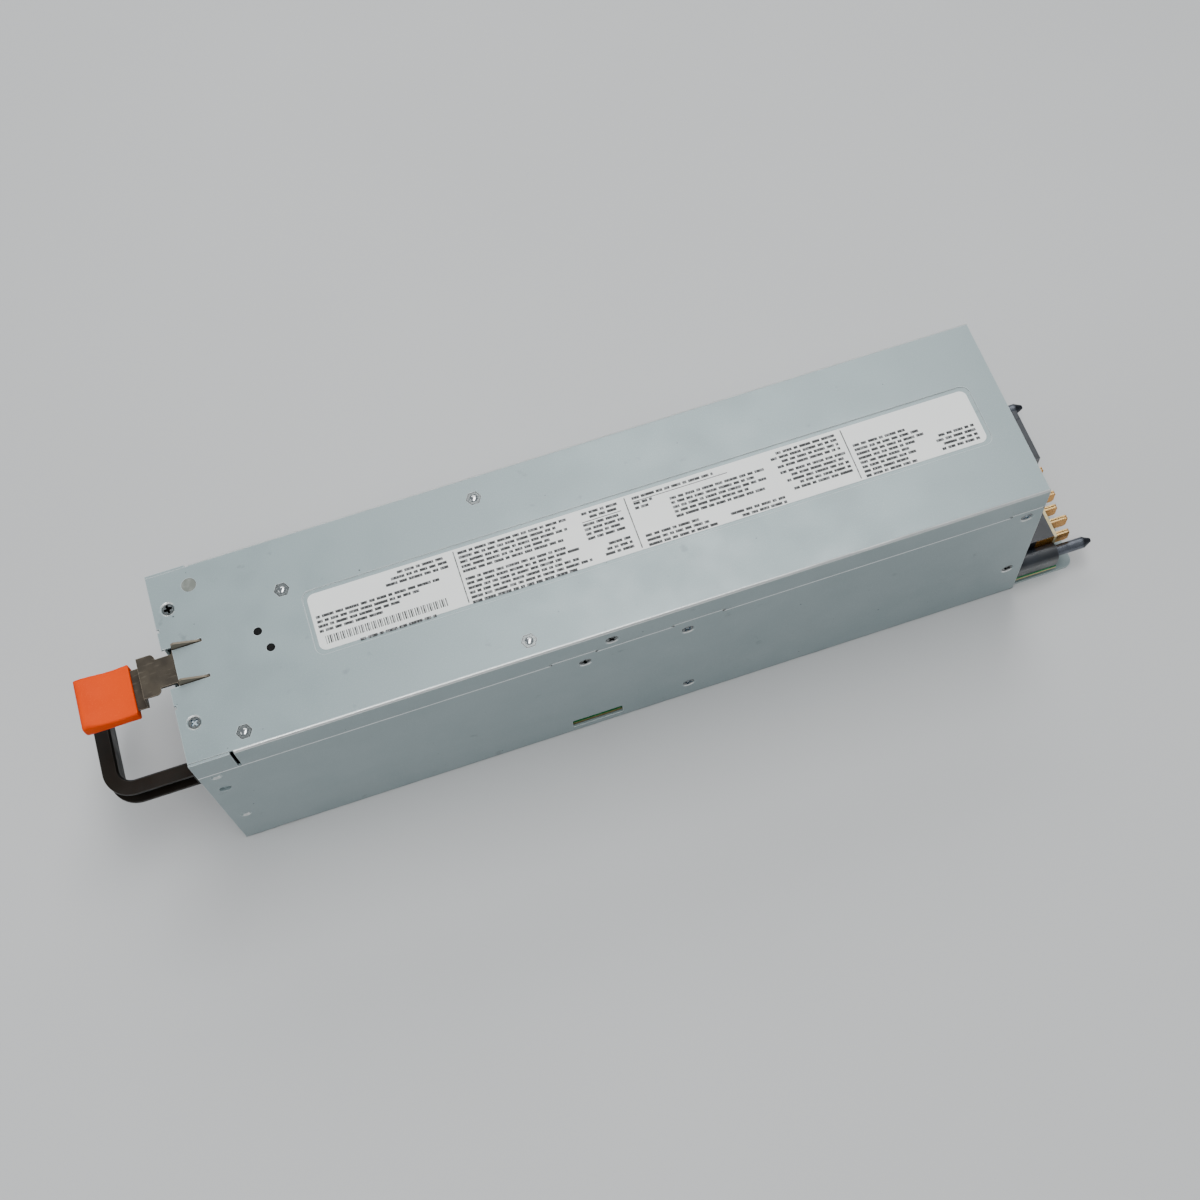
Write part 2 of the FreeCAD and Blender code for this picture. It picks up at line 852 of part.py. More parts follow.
def make_chassis_tray():
    body = new_body("chassis_tray_body")
    wall_top = case_top - size("wall_top_gap")
    outline = new_sketch(body, "YZ_Plane")
    draw_polygon(outline, [
        (-half_width, 0), (half_width, 0), (half_width, wall_top), (inside_half, wall_top),
        (inside_half, steel), (-inside_half, steel), (-inside_half, wall_top), (-half_width, wall_top),
    ])
    pad(body, outline, size("case_length"), midplane=True)
    doc.recompute()
    outer_bends = edges_along(body.Shape, "x", [(half_width, 0), (-half_width, 0)])
    fillet(body, size("bend_radius"), outer_bends)
    inner_bends = edges_along(body.Shape, "x", [(inside_half, steel), (-inside_half, steel)])
    fillet(body, size("wall_inner_bend"), inner_bends)

    seam = new_sketch(body, "XZ_Plane")
    draw_polygon(seam, seam_outline(size("seam_height") - size("seam_gap"), over))
    pocket(body, seam, size("case_width") + over * 2, midplane=True)

    shelf = new_sketch(body, "XY_Plane")
    shelf_half = half_width - size("shelf_inset")
    shelf_end = rear + size("shelf_reach")
    draw_rectangle(shelf, (rear - steel, shelf_end), (-shelf_half, shelf_half))
    pad(body, shelf, steel)
    doc.recompute()
    corners = edges_along(body.Shape, "z", [(shelf_end, shelf_half), (shelf_end, -shelf_half)])
    fillet(body, size("shelf_corner"), corners)

    foot = new_sketch(body, "XZ_Plane", half_width)
    notch_start = front + size("foot_notch_start")
    notch_end = notch_start + size("foot_notch_length")
    draw_rectangle(foot, (notch_start, notch_end), (-over, size("foot_notch_rise")))
    pocket(body, foot, steel + over)

    window = new_sketch(body, "XZ_Plane", half_width)
    draw_rounded(
        window,
        (size("window_front"), size("window_front") + size("window_length")),
        (size("window_low"), size("window_high")),
        size("window_corner"),
    )
    pocket(body, window, steel + over)

    button_x = front + size("button_inset")
    earth_flats = size("earth_hole_radius") * 2
    earth_at = (button_x, -half_width - over, size("earth_hole_high"))
    cutters = [prism("earth_hole", ROUND_SIDES, earth_flats, steel + over * 2, earth_at, "y")]
    for number, (x, z) in enumerate(tray_screws):
        cutters.append(screw_seat(f"near_seat_{number}", (x, -half_width, z), "y", -1))
        cutters.append(screw_seat(f"far_seat_{number}", (x, half_width, z), "y", 1))
    rim = size("button_radius")
    floor = size("button_floor_radius")
    for number, z in enumerate((size("button_low"), size("button_high"))):
        at = (button_x, -half_width, z)
        cutters.append(frustum(f"side_button_{number}", rim, floor, size("button_depth"), at, "y"))
    return keep("chassis_tray", cut("chassis_tray", body, cutters))


def make_top_cover():
    body = new_body("top_cover_body")
    seam = size("seam_height")
    outline = new_sketch(body, "YZ_Plane")
    draw_polygon(outline, [
        (-half_width, seam), (-inside_half, seam), (-inside_half, cover_under),
        (inside_half, cover_under), (inside_half, seam), (half_width, seam),
        (half_width, case_top), (-half_width, case_top),
    ])
    pad(body, outline, size("case_length"), midplane=True)
    doc.recompute()
    bends = edges_along(body.Shape, "x", [(half_width, case_top), (-half_width, case_top)])
    fillet(body, size("bend_radius"), bends)

    corners = new_sketch(body, "XY_Plane", case_top + over)
    edge = inside_half - size("corner_gap")
    for low, high in ((edge, half_width + over), (-half_width - over, -edge)):
        draw_rectangle(corners, (front - over, flange_start), (low, high))
    pocket(body, corners, case_top + over - seam + steel * 2)

    tabs = new_sketch(body, "XZ_Plane")
    rise = size("tab_rise") + size("seam_gap")
    for start, end in tab_ranges:
        last = end + over if float(end) >= float(rear) else end + size("seam_gap")
        draw_rectangle(tabs, (start - size("seam_gap"), last), (seam - over, seam + rise))
    pocket(body, tabs, size("case_width") + over * 2, midplane=True)

    swell = new_sketch(body, "XY_Plane", cover_under)
    margin = size("recess_depth")
    recess_x = (size("recess_front"), size("recess_front") + size("recess_length"))
    recess_y = (-size("recess_width") / 2, size("recess_width") / 2)
    draw_rounded(
        swell,
        (recess_x[0] - margin, recess_x[1] + margin),
        (recess_y[0] - margin, recess_y[1] + margin),
        size("recess_corner") + margin,
    )
    pad(body, swell, size("recess_depth"), reverse=True)
    recess = new_sketch(body, "XY_Plane", case_top)
    draw_rounded(recess, recess_x, recess_y, size("recess_corner"))
    pocket(body, recess, size("recess_depth"))

    openings = new_sketch(body, "XY_Plane", case_top)
    for low, high in ((slot_inner, slot_outer), (-slot_outer, -slot_inner)):
        draw_rectangle(openings, (front - over, nose_end), (low, high))
    pocket(body, openings, steel + over)
    edges = new_sketch(body, "XY_Plane", case_top)
    draw_rectangle(edges, (front - over, front + size("tongue_setback")), (-slot_inner, slot_inner))
    notch = size("edge_notch_width") / 2
    for offset in (size("edge_notch_offset"), -size("edge_notch_offset")):
        draw_rectangle(
            edges, (front - over, front + size("edge_notch_depth")), (offset - notch, offset + notch)
        )
    pocket(body, edges, steel + over)

    cutters = []
    below = cover_under - over
    depth = steel + over * 2
    rivet_flats = (size("latch_rivet_radius") + size("screw_clearance")) * 2
    for number, (x, y) in enumerate(latch_rivet_places()):
        cutters.append(prism(f"latch_rivet_hole_{number}", ROUND_SIDES, rivet_flats, depth, (x, y, below)))
    insert_flats = size("insert_flats") + size("insert_gap") * 2
    for number, (x, y) in enumerate(insert_places()):
        cutters.append(prism(f"insert_hole_{number}", 6, insert_flats, depth, (x, y, below)))
    plug_flats = (size("plug_rivet_radius") + size("insert_gap")) * 2
    cutters.append(prism("plug_rivet_hole", ROUND_SIDES, plug_flats, depth, (*plug_rivet_place(), below)))
    for number, side in enumerate((-1, 1)):
        top_at = (cover_screw_x, side * cover_screw_y, case_top)
        cutters.append(screw_seat(f"cover_seat_{number}", top_at, "z", 1))
        side_at = (flange_screw_x, side * half_width, flange_screw_z)
        cutters.append(screw_seat(f"flange_seat_{number}", side_at, "y", side))
    return keep("top_cover", cut("top_cover", body, cutters))


def latch_rivet_places():
    return [
        (rest_front + size("latch_rivet_far_setback"), size("latch_rivet_far_offset")),
        (rest_front + size("latch_rivet_near_setback"), -size("latch_rivet_near_offset")),
    ]


def insert_places():
    """Clinch inserts in the cover, from the front to the middle."""
    return [(size(f"insert_{name}_x"), size(f"insert_{name}_y")) for name in ("one", "two", "three", "four")]


def plug_rivet_place():
    return front + size("plug_rivet_setback"), size("plug_rivet_offset")


def make_front_panel():
    """Formed sheet with the grille, the inlet cut-out and the latch notch."""
    body = new_body("front_panel_body")
    outline = new_sketch(body, "YZ_Plane", panel_front)
    draw_rectangle(outline, (-inside_half, inside_half), (steel, cover_under))
    pad(body, outline, size("panel_depth"))
    doc.recompute()
    corners = [
        (inside_half, steel), (-inside_half, steel), (inside_half, cover_under), (-inside_half, cover_under),
    ]
    fillet(body, size("bend_radius"), edges_along(body.Shape, "x", corners))
    hollow = new_sketch(body, "YZ_Plane", panel_back)
    inner_radius = size("bend_radius") - steel * 0.8
    draw_rounded(
        hollow, (-inside_half + steel, inside_half - steel), (steel * 2, cover_under - steel), inner_radius
    )
    pocket(body, hollow, size("panel_depth"), reverse=True)

    notch = new_sketch(body, "YZ_Plane", panel_front - over)
    half_notch = size("latch_notch_half")
    draw_rectangle(notch, (-half_notch, half_notch), (cover_under - size("latch_notch_drop"), case_top))
    pocket(body, notch, size("panel_depth") + over * 2, reverse=True)

    holes = new_sketch(body, "YZ_Plane", panel_front)
    inlet_half_width = size("inlet_cutout_width") / 2
    inlet_half_height = size("inlet_cutout_height") / 2
    inlet_high = size("inlet_high")
    draw_rectangle(
        holes, (-inlet_half_width, inlet_half_width),
        (inlet_high - inlet_half_height, inlet_high + inlet_half_height),
    )
    pocket(body, holes, steel + over, reverse=True)

    pitch = size("grille_pitch")
    row_rise = pitch * math.sin(math.radians(60))
    low = size("grille_low")
    for start_y, start_z, columns, rows in (
        (pitch * -3.5, low, 8, 2),
        (pitch * -3, low + row_rise, 7, 2),
        (pitch * -1, low - row_rise, 3, 1),
        (pitch * -1.5, low - row_rise * 2, 4, 1),
    ):
        cell = new_sketch(body, "YZ_Plane", panel_front)
        corner = size("grille_flats") / math.sqrt(3)
        outline = []
        for step in range(6):
            angle = math.radians(60 * step + 30)
            outline.append((start_y + corner * math.cos(angle), start_z + corner * math.sin(angle)))
        draw_polygon(cell, outline)
        first = pocket(body, cell, steel + over, reverse=True)
        steps = [("H_Axis", pitch * (columns - 1), columns)]
        if rows > 1:
            steps.append(("V_Axis", row_rise * 2 * (rows - 1), rows))
        pattern(body, first, steps)

    cutters = []
    ahead = panel_front - over
    depth = steel + over * 2
    leg_flats = (size("handle_screw_radius") + size("screw_clearance")) * 2
    for number, side in enumerate((-1, 1)):
        leg_at = (ahead, side * handle_leg_y, size("handle_high"))
        cutters.append(prism(f"panel_leg_hole_{number}", BORE_SIDES, leg_flats, depth, leg_at, "x"))
        top_at = (cover_screw_x, side * cover_screw_y, cover_under - steel - over)
        cutters.append(prism(f"panel_top_hole_{number}", BORE_SIDES, screw_hole * 2, depth, top_at))
    lamp_flats = (size("lamp_radius") + size("screw_clearance")) * 2
    for number, z in enumerate(lamp_heights):
        lamp_at = (ahead, size("lamp_offset"), z)
        cutters.append(prism(f"panel_lamp_hole_{number}", BORE_SIDES, lamp_flats, depth, lamp_at, "x"))
    return keep("front_panel", cut("front_panel", body, cutters))


def make_case_screws():
    """Countersunk screws, made once along -Z with the head flush at Z = 0."""
    depth = size("screw_head_depth")
    length = size("screw_length")
    head = frustum("case_screw_head", size("screw_radius"), size("screw_head_radius"), depth, (0, 0, -depth))
    shank_flats = size("screw_radius") * (2 * math.cos(math.pi / ROUND_SIDES))
    shank = prism("case_screw_shank", ROUND_SIDES, shank_flats, length, (0, 0, -length))
    screw = fuse("case_screw", [head, shank])
    near = FreeCAD.Rotation(FreeCAD.Vector(1, 0, 0), 90)
    far = FreeCAD.Rotation(FreeCAD.Vector(1, 0, 0), -90)
    spots = tray_screws + [(flange_screw_x, flange_screw_z)]
    sides = []
    for x, z in spots:
        sides.append(at_point(x, -half_width, z, near))
        sides.append(at_point(x, half_width, z, far))
    keep("side_screws", repeat("side_screws", screw, sides))
    tops = [at_point(cover_screw_x, y, case_top) for y in (cover_screw_y, -cover_screw_y)]
    keep("cover_screws", repeat("cover_screws", screw, tops))


def make_cover_inserts():
    """Hexagonal clinch inserts pressed into the cover, each with a blind threaded barrel."""
    length = size("insert_barrel_length")
    pieces = []
    for number, (x, y) in enumerate(insert_places()):
        name = f"cover_insert_{number}"
        head = prism(name + "_head", 6, size("insert_flats"), steel, (x, y, cover_under))
        foot = (x, y, cover_under - length)
        barrel = prism(name + "_barrel", BORE_SIDES, size("insert_barrel_radius") * 2, length, foot)
        start = (x, y, cover_under - length - over)
        depth = length + steel + over - size("insert_floor")
        bore = prism(name + "_bore", BORE_SIDES, size("insert_bore_radius") * 2, depth, start)
        pieces.append(cut(name, fuse(name + "_blank", [head, barrel]), [bore]))
    return keep("cover_inserts", group("cover_inserts", pieces))


def make_cover_plug_rivet():
    x, y = plug_rivet_place()
    radius = size("plug_rivet_radius")
    drop = size("plug_rivet_foot")
    shank = prism("cover_rivet_shank", ROUND_SIDES, radius * 2, steel, (x, y, cover_under))
    foot = frustum("cover_rivet_foot", radius * 0.7, radius * 0.9, drop, (x, y, cover_under - drop))
    return keep("cover_rivet", fuse("cover_rivet", [shank, foot]))


def make_rating_label():
    body = new_body("rating_label")
    margin = size("label_margin")
    low_x = size("recess_front") + margin
    high_x = size("recess_front") + size("recess_length") - margin
    half = size("recess_width") / 2 - margin
    outline = new_sketch(body, "XY_Plane", case_top - size("recess_depth"))
    draw_rounded(outline, (low_x, high_x), (-half, half), size("recess_corner") - margin * 0.4)
    pad(body, outline, size("label_thickness"))
    return keep("rating_label", body)


def make_pull_handle():
    """A U-shaped bar of outward-facing channel, solid where its feet meet the panel."""
    body = new_body("pull_handle_body")
    half_span = size("handle_span") / 2
    bar = size("handle_bar")
    crossbar = front - size("handle_reach")
    inner = half_span - bar
    corner = size("handle_corner")
    plan = new_sketch(body, "XY_Plane", size("handle_high"))
    draw_polygon(plan, [
        (panel_front, -half_span), (panel_front, -inner), (crossbar + bar, -inner),
        (crossbar + bar, inner), (panel_front, inner), (panel_front, half_span),
        (crossbar, half_span), (crossbar, -half_span),
    ])
    pad(body, plan, size("handle_height"), midplane=True)
    doc.recompute()
    outer = edges_along(body.Shape, "z", [(crossbar, half_span), (crossbar, -half_span)])
    fillet(body, corner, outer)
    inside = edges_along(body.Shape, "z", [(crossbar + bar, inner), (crossbar + bar, -inner)])
    fillet(body, corner - bar, inside)

    web = size("handle_web")
    foot = panel_front - size("handle_foot")
    web_line = half_span - bar + web
    channel = new_sketch(body, "XY_Plane", size("handle_high"))
    draw_polygon(channel, [
        (foot, -web_line), (crossbar + bar - web, -web_line), (crossbar + bar - web, web_line),
        (foot, web_line), (foot, half_span + 2), (crossbar - 2, half_span + 2),
        (crossbar - 2, -half_span - 2), (foot, -half_span - 2),
    ])
    pocket(body, channel, size("handle_height") - size("handle_lip") * 2, midplane=True)
    doc.recompute()
    web_corner = (crossbar + bar - web, web_line)
    web_edges = edges_along(body.Shape, "z", [web_corner, (web_corner[0], -web_line)])
    fillet(body, corner - bar + web, web_edges)

    half_height = size("handle_height") / 2
    levels = (size("handle_high") + half_height, size("handle_high") - half_height)
    rounded = []
    for number, edge in enumerate(body.Shape.Edges, start=1):
        middle = edge.CenterOfMass
        if min(abs(middle.z - float(level)) for level in levels) > 1e-3:
            continue
        point = edge.valueAt((edge.FirstParameter + edge.LastParameter) / 2)
        if abs(point.y) < float(inner) + 1e-3 and point.x < float(panel_front) - 1e-3:
            if point.x > float(crossbar) + 0.5:
                rounded.append(f"Edge{number}")
    chamfer(body, size("handle_edge"), rounded)

    bores = []
    bore_flats = size("handle_screw_radius") * 2
    for number, side in enumerate((-1, 1)):
        at = (panel_front - size("handle_screw_grip"), side * handle_leg_y, size("handle_high"))
        length = size("handle_screw_grip") + over
        bores.append(prism(f"handle_bore_{number}", BORE_SIDES, bore_flats, length, at, "x"))
    return keep("pull_handle", cut("pull_handle", body, bores))


def make_handle_screws():
    pieces = []
    radius = size("handle_screw_radius")
    shank_flats = radius * (2 * math.cos(math.pi / BORE_SIDES))
    for number, side in enumerate((-1, 1)):
        name = f"handle_screw_{number}"
        start = panel_front - size("handle_screw_grip") + over
        at = (start, side * handle_leg_y, size("handle_high"))
        shank = prism(name + "_shank", BORE_SIDES, shank_flats, panel_back - start, at, "x")
        head_at = (panel_back, side * handle_leg_y, size("handle_high"))
        head_flats = size("handle_screw_head_radius") * 2
        head = prism(name + "_head", ROUND_SIDES, head_flats, size("handle_screw_head_height"), head_at, "x")
        pieces.append(fuse(name, [shank, head]))
    return keep("handle_screws", group("handle_screws", pieces))


def make_latch_root():
    """The clamped end of the latch spring, flat against the underside of the cover."""
    thickness = size("spring_steel")
    length = size("latch_root_length")
    half = size("latch_root_half")
    start = rest_front + size("latch_gap")
    plate = block("latch_root_plate", (start, start + length), (-half, half), (cover_under - thickness, cover_under))
    flats = (size("latch_rivet_radius") + size("screw_clearance")) * 2
    holes = []
    for number, (x, y) in enumerate(latch_rivet_places()):
        at = (x, y, cover_under - thickness - over)
        holes.append(prism(f"latch_root_hole_{number}", ROUND_SIDES, flats, thickness + over * 2, at))
    return keep("latch_root", cut("latch_root", plate, holes))


def make_latch_rivets():
    foot = cover_under - size("spring_steel")
    depth = size("screw_head_depth")
    pieces = []
    for number, (x, y) in enumerate(latch_rivet_places()):
        name = f"latch_rivet_{number}"
        length = case_top - size("latch_rivet_recess") - foot
        shank = prism(name + "_shank", ROUND_SIDES, size("latch_rivet_radius") * 2, length, (x, y, foot))
        wide = size("latch_rivet_head_radius")
        head = frustum(name + "_head", wide * 0.7, wide, depth, (x, y, foot - depth))
        pieces.append(fuse(name, [shank, head]))
    return keep("latch_rivets", group("latch_rivets", pieces))


def make_latch_leaf():
    """Spring strip with two hooks, a curved shoulder, a folded flap and the tab in the grip."""
    body = new_body("latch_leaf")
    thickness = size("spring_steel")
    top = cover_under - size("latch_rest_gap")
    fold = front - size("latch_fold_reach")
    lean = size("latch_flap_lean")
    tab_top = top - size("latch_flap_drop")
    tab_end = fold - lean - size("latch_tab_length")
    head_half = size("latch_head_half")
    side = new_sketch(body, "XZ_Plane")
    draw_polygon(side, [
        (rest_front, top), (rest_front, top - thickness), (fold + thickness, top - thickness),
        (fold + thickness - lean, tab_top - thickness), (tab_end, tab_top - thickness),
        (tab_end, tab_top), (fold - lean, tab_top), (fold, top),
    ])
    pad(body, side, head_half * 2, midplane=True)

    neck = size("latch_neck_half")
    hook_start = front + size("hook_front_inset")
    hook_end = nose_end - size("hook_rear_gap")
    hook_outer = slot_outer - (size("slot_width") - size("hook_thickness")) / 2
    root_half = size("latch_root_half")
    neck_front = front - size("latch_neck_front") + 0.6
    neck_rear = front + 3.0
    shoulder = fold + size("latch_shoulder_length")
    arc = as_size(2.6)
    plan = new_sketch(body, "XY_Plane", case_top)
    draw_polygon(plan, [
        (shoulder, head_half + 1), (shoulder, head_half), (neck_front, neck),
        (neck_rear, neck), (hook_start - 1.2, hook_outer), (hook_end + 1.2, hook_outer),
        (hook_end + 2.4, root_half), (rest_front + 1, root_half), (rest_front + 1, head_half + 1),
    ], arcs={1: -arc})
    trimmed = pocket(body, plan, 6.0)
    mirror(body, [trimmed], "XZ_Plane")

    hook = new_sketch(body, "XZ_Plane", hook_outer)
    crown = case_top + size("hook_height")
    draw_polygon(hook, [
        (hook_start - 1.2, top - thickness), (hook_end + 1.2, top - thickness), (hook_end + 1.2, top),
        (hook_end, top), (hook_end, case_top - 0.1), (hook_start + 0.5, crown),
        (hook_start - 0.6, crown - 0.6), (hook_start - 1.2, case_top),
    ])
    fin = pad(body, hook, size("hook_thickness"), reverse=True)
    mirror(body, [fin], "XZ_Plane")
    return keep("latch_leaf", body)


def make_latch_grip():
    """Moulded finger grip with a saddle on top and a pocket for the latch tab."""
    body = new_body("latch_grip")
    top = cover_under - size("latch_rest_gap")
    tab_top = top - size("latch_flap_drop")
    fold = front - size("latch_fold_reach") - size("latch_flap_lean")
    rear_face = fold - size("grip_gap")
    front_face = rear_face - size("grip_length")
    upper = tab_top + size("grip_above")
    lower = tab_top - size("grip_below")
    lip = upper + size("grip_lip")
    nose = tab_top - size("grip_nose_below")
    lip_radius = size("grip_lip_radius")
    nose_radius = size("grip_nose_radius")
    half = size("grip_width") / 2
    outline = new_sketch(body, "YZ_Plane", front_face)
    draw_rounded(outline, (-half, half), (nose, lip), size("grip_edge"))
    pad(body, outline, size("grip_length"))
    saddle = new_sketch(body, "XZ_Plane")
    draw_polygon(saddle, [
        (rear_face, upper), (front_face + lip_radius, lip), (front_face, lip - lip_radius),
        (front_face - 1, lip + 2), (rear_face + 1, lip + 2), (rear_face + 1, upper),
    ], arcs={0: -size("grip_saddle_radius"), 1: lip_radius})
    pocket(body, saddle, size("grip_width") + 2, midplane=True)
    under = new_sketch(body, "XZ_Plane")
    draw_polygon(under, [
        (front_face, nose + nose_radius), (front_face + nose_radius, nose), (rear_face + 1, lower),
        (rear_face + 1, nose - 2), (front_face - 1, nose - 2), (front_face - 1, nose + nose_radius),
    ], arcs={0: nose_radius})
    pocket(body, under, size("grip_width") + 2, midplane=True)
    slot = new_sketch(body, "YZ_Plane", rear_face + 1)
    thickness = size("spring_steel")
    slot_half = size("latch_head_half") + 0.02
    draw_rectangle(slot, (-slot_half, slot_half), (tab_top - thickness - 0.02, tab_top + 0.02))
    pocket(body, slot, size("latch_tab_length") - size("grip_gap") + 1.05)
    return keep("latch_grip", body)


def make_ac_inlet():
    """Mains inlet: flange outside the panel, body behind it and a keyed cavity."""
    body = new_body("ac_inlet")
    high = size("inlet_high")
    flange_front = panel_front - size("inlet_flange_thickness")
    flange = new_sketch(body, "YZ_Plane", flange_front)
    half_flange = size("inlet_flange_width") / 2
    half_flange_high = size("inlet_flange_height") / 2
    draw_rounded(flange, (-half_flange, half_flange), (high - half_flange_high, high + half_flange_high),
                 size("inlet_flange_corner"))
    pad(body, flange, size("inlet_flange_thickness"))
    shell = new_sketch(body, "YZ_Plane", panel_front)
    half_shell = size("inlet_cutout_width") / 2 - 0.1
    half_shell_high = size("inlet_cutout_height") / 2 - 0.1
    draw_rectangle(shell, (-half_shell, half_shell), (high - half_shell_high, high + half_shell_high))
    pad(body, shell, size("inlet_depth"))
    cavity = new_sketch(body, "YZ_Plane", flange_front)
    half = size("inlet_cavity_width") / 2
    rise = size("inlet_cavity_height") / 2
    corner = size("inlet_corner_cut")
    draw_polygon(cavity, [
        (-half, high - rise), (half, high - rise), (half, high + rise - corner),
        (half - corner, high + rise), (-half + corner, high + rise), (-half, high + rise - corner),
    ])
    pocket(body, cavity, size("inlet_cavity_depth"), reverse=True)
    pins = new_sketch(body, "YZ_Plane", flange_front)
    for y, z in inlet_pin_places():
        half_pin = size("inlet_pin_width") / 2 + 0.03
        half_tall = size("inlet_pin_height") / 2 + 0.03
        draw_rectangle(pins, (y - half_pin, y + half_pin), (z - half_tall, z + half_tall))
    pocket(body, pins, size("inlet_depth") + size("inlet_flange_thickness") + 1, reverse=True)
    return keep("ac_inlet", body)


def inlet_pin_places():
    spacing = size("inlet_pin_spacing")
    low = size("inlet_high") - size("inlet_pin_offset")
    high = size("inlet_high") + size("inlet_pin_offset")
    return [(-spacing, low), (as_size(0), high), (spacing, low)]


def make_inlet_pins():
    pieces = []
    start = panel_front - size("inlet_flange_thickness") + 1.5
    end = panel_front + size("inlet_depth") + size("inlet_pin_tail")
    half_pin = size("inlet_pin_width") / 2
    half_tall = size("inlet_pin_height") / 2
    for number, (y, z) in enumerate(inlet_pin_places()):
        y_range = (y - half_pin, y + half_pin)
        z_range = (z - half_tall, z + half_tall)
        pieces.append(block(f"inlet_pin_{number}", (start, end), y_range, z_range))
    return keep("inlet_pins", group("inlet_pins", pieces))


def make_status_lamps():
    """Light pipes that pass through the front panel."""
    pieces = []
    radius = size("lamp_radius")
    for number, z in enumerate(lamp_heights):
        name = f"status_lamp_{number}"
        y = size("lamp_offset")
        length = size("lamp_length")
        stem = prism(name + "_stem", BORE_SIDES, radius * 2, length, (panel_front - over, y, z), "x")
        collar_flats = size("lamp_collar_radius") * 2
        collar = prism(name + "_collar", BORE_SIDES, collar_flats, size("lamp_collar_length"), (panel_back, y, z), "x")
        pieces.append(fuse(name, [stem, collar]))
    return keep("status_lamps", group("status_lamps", pieces))


def make_main_board():
    body = new_body("main_board_body")
    outline = new_sketch(body, "XY_Plane", board_low)
    half = inside_half - size("board_side_gap")
    draw_rectangle(outline, (board_front, board_rear), (-half, half))
    pad(body, outline, size("board_thickness"))
    holes = []
    for number, (x, y) in enumerate(board_screw_places()):
        at = (x, y, board_low - over)
        depth = size("board_thickness") + over * 2
        holes.append(prism(f"board_hole_{number}", BORE_SIDES, screw_hole * 2, depth, at))
    return keep("main_board", cut("main_board", body, holes))


def board_screw_places():
    spread = size("board_screw_spread") / 2
    first = front + size("board_screw_first")
    pitch = size("board_screw_pitch")
    return [(first + pitch * step, side * spread) for step in range(BOARD_SCREW_PAIRS) for side in (-1, 1)]


def make_board_fasteners():
    standoffs = []
    screws = []
    shank_flats = size("screw_radius") * (2 * math.cos(math.pi / BORE_SIDES))
    head_flats = size("board_screw_head_radius") * 2
    floor = size("standoff_floor")
    for number, (x, y) in enumerate(board_screw_places()):
        name = f"board_standoff_{number}"
        column = prism(name + "_column", 6, size("standoff_flats"), size("board_gap"), (x, y, steel))
        bore_at = (x, y, steel + floor)
        bore = prism(name + "_bore", BORE_SIDES, screw_hole * 2, size("board_gap"), bore_at)
        standoffs.append(cut(name, column, [bore]))
        name = f"board_screw_{number}"
        head_height = size("board_screw_head_height")
        head = prism(name + "_head", BORE_SIDES, head_flats, head_height, (x, y, board_top))
        shank_foot = steel + floor + size("screw_clearance")
        shank_length = board_top - shank_foot
        shank = prism(name + "_shank", BORE_SIDES, shank_flats, shank_length, (x, y, shank_foot))
        screws.append(fuse(name, [head, shank]))
    keep("board_standoffs", group("board_standoffs", standoffs))
    keep("board_screws", group("board_screws", screws))


def make_insulator_sheet():
    thickness = size("insulator_thickness")
    edge = size("insulator_edge")
    x_range = (panel_front + size("panel_depth") + edge, rear - edge)
    half = inside_half - edge
    plate = block("insulator_plate", x_range, (-half, half), (steel, steel + thickness))
    flats = size("standoff_flats") * (1 / math.cos(math.pi / 6)) + size("screw_clearance") * 2
    holes = []
    for number, (x, y) in enumerate(board_screw_places()):
        at = (x, y, steel - over)
        holes.append(prism(f"insulator_hole_{number}", BORE_SIDES, flats, thickness + over * 2, at))
    return keep("insulator_sheet", cut("insulator_sheet", plate, holes))


def make_connector_housing():
    """Blind-mate housing: power section, signal section and two D-shaped guide bosses."""
    body = new_body("connector_housing_body")
    back = board_rear - size("housing_depth")
    half = size("housing_half")
    top = size("housing_top")
    split = size("signal_start")
    power = new_sketch(body, "YZ_Plane", back)
    draw_rectangle(power, (-half, split + 1), (board_top, top))
    pad(body, power, size("housing_depth"))
    signal = new_sketch(body, "YZ_Plane", back)
    draw_rectangle(signal, (split, half), (board_top, top - size("signal_drop")))
    pad(body, signal, size("housing_depth") + size("signal_reach"))
    boss = new_sketch(body, "YZ_Plane", board_rear - size("boss_length"))
    width = size("boss_width")
    centre = size("guide_high")
    draw_polygon(boss, [
        (half, board_top), (half + width, board_top), (half + width, centre), (half, centre),
    ], arcs={2: width / 2 + 0.0001})
    solid = pad(body, boss, size("boss_length"))
    mirror(body, [solid], "XZ_Plane")
    slots = new_sketch(body, "YZ_Plane", board_rear)
    clearance = size("blade_clearance")
    half_slot = size("blade_leaf") + size("blade_slit") / 2 + clearance
    for y, reach in blade_places():
        draw_rectangle(slots, (y - half_slot, y + half_slot), (blade_low - clearance, blade_high + clearance))
    pocket(body, slots, size("blade_seat"))
    signal_face = board_rear + size("signal_reach")
    cell = new_sketch(body, "YZ_Plane", signal_face)
    hole = size("signal_hole") / 2
    y, z = signal_origin
    draw_rectangle(cell, (y - hole, y + hole), (z - hole, z + hole))
    first = pocket(body, cell, size("signal_hole_depth"))
    pattern(body, first, [
        ("H_Axis", size("signal_pitch") * (SIGNAL_COLUMNS - 1), SIGNAL_COLUMNS),
        ("V_Axis", size("signal_pitch") * (SIGNAL_ROWS - 1), SIGNAL_ROWS),
    ])
    bores = []
    bore_flats = (size("guide_pin_seat_radius") + size("guide_pin_seat_clearance")) * 2
    for number, side in enumerate((-1, 1)):
        at = (board_rear - size("guide_pin_seat"), side * guide_y, centre)
        length = size("guide_pin_seat") + over
        bores.append(prism(f"guide_bore_{number}", BORE_SIDES, bore_flats, length, at, "x"))
    return keep("connector_housing", cut("connector_housing", body, bores))


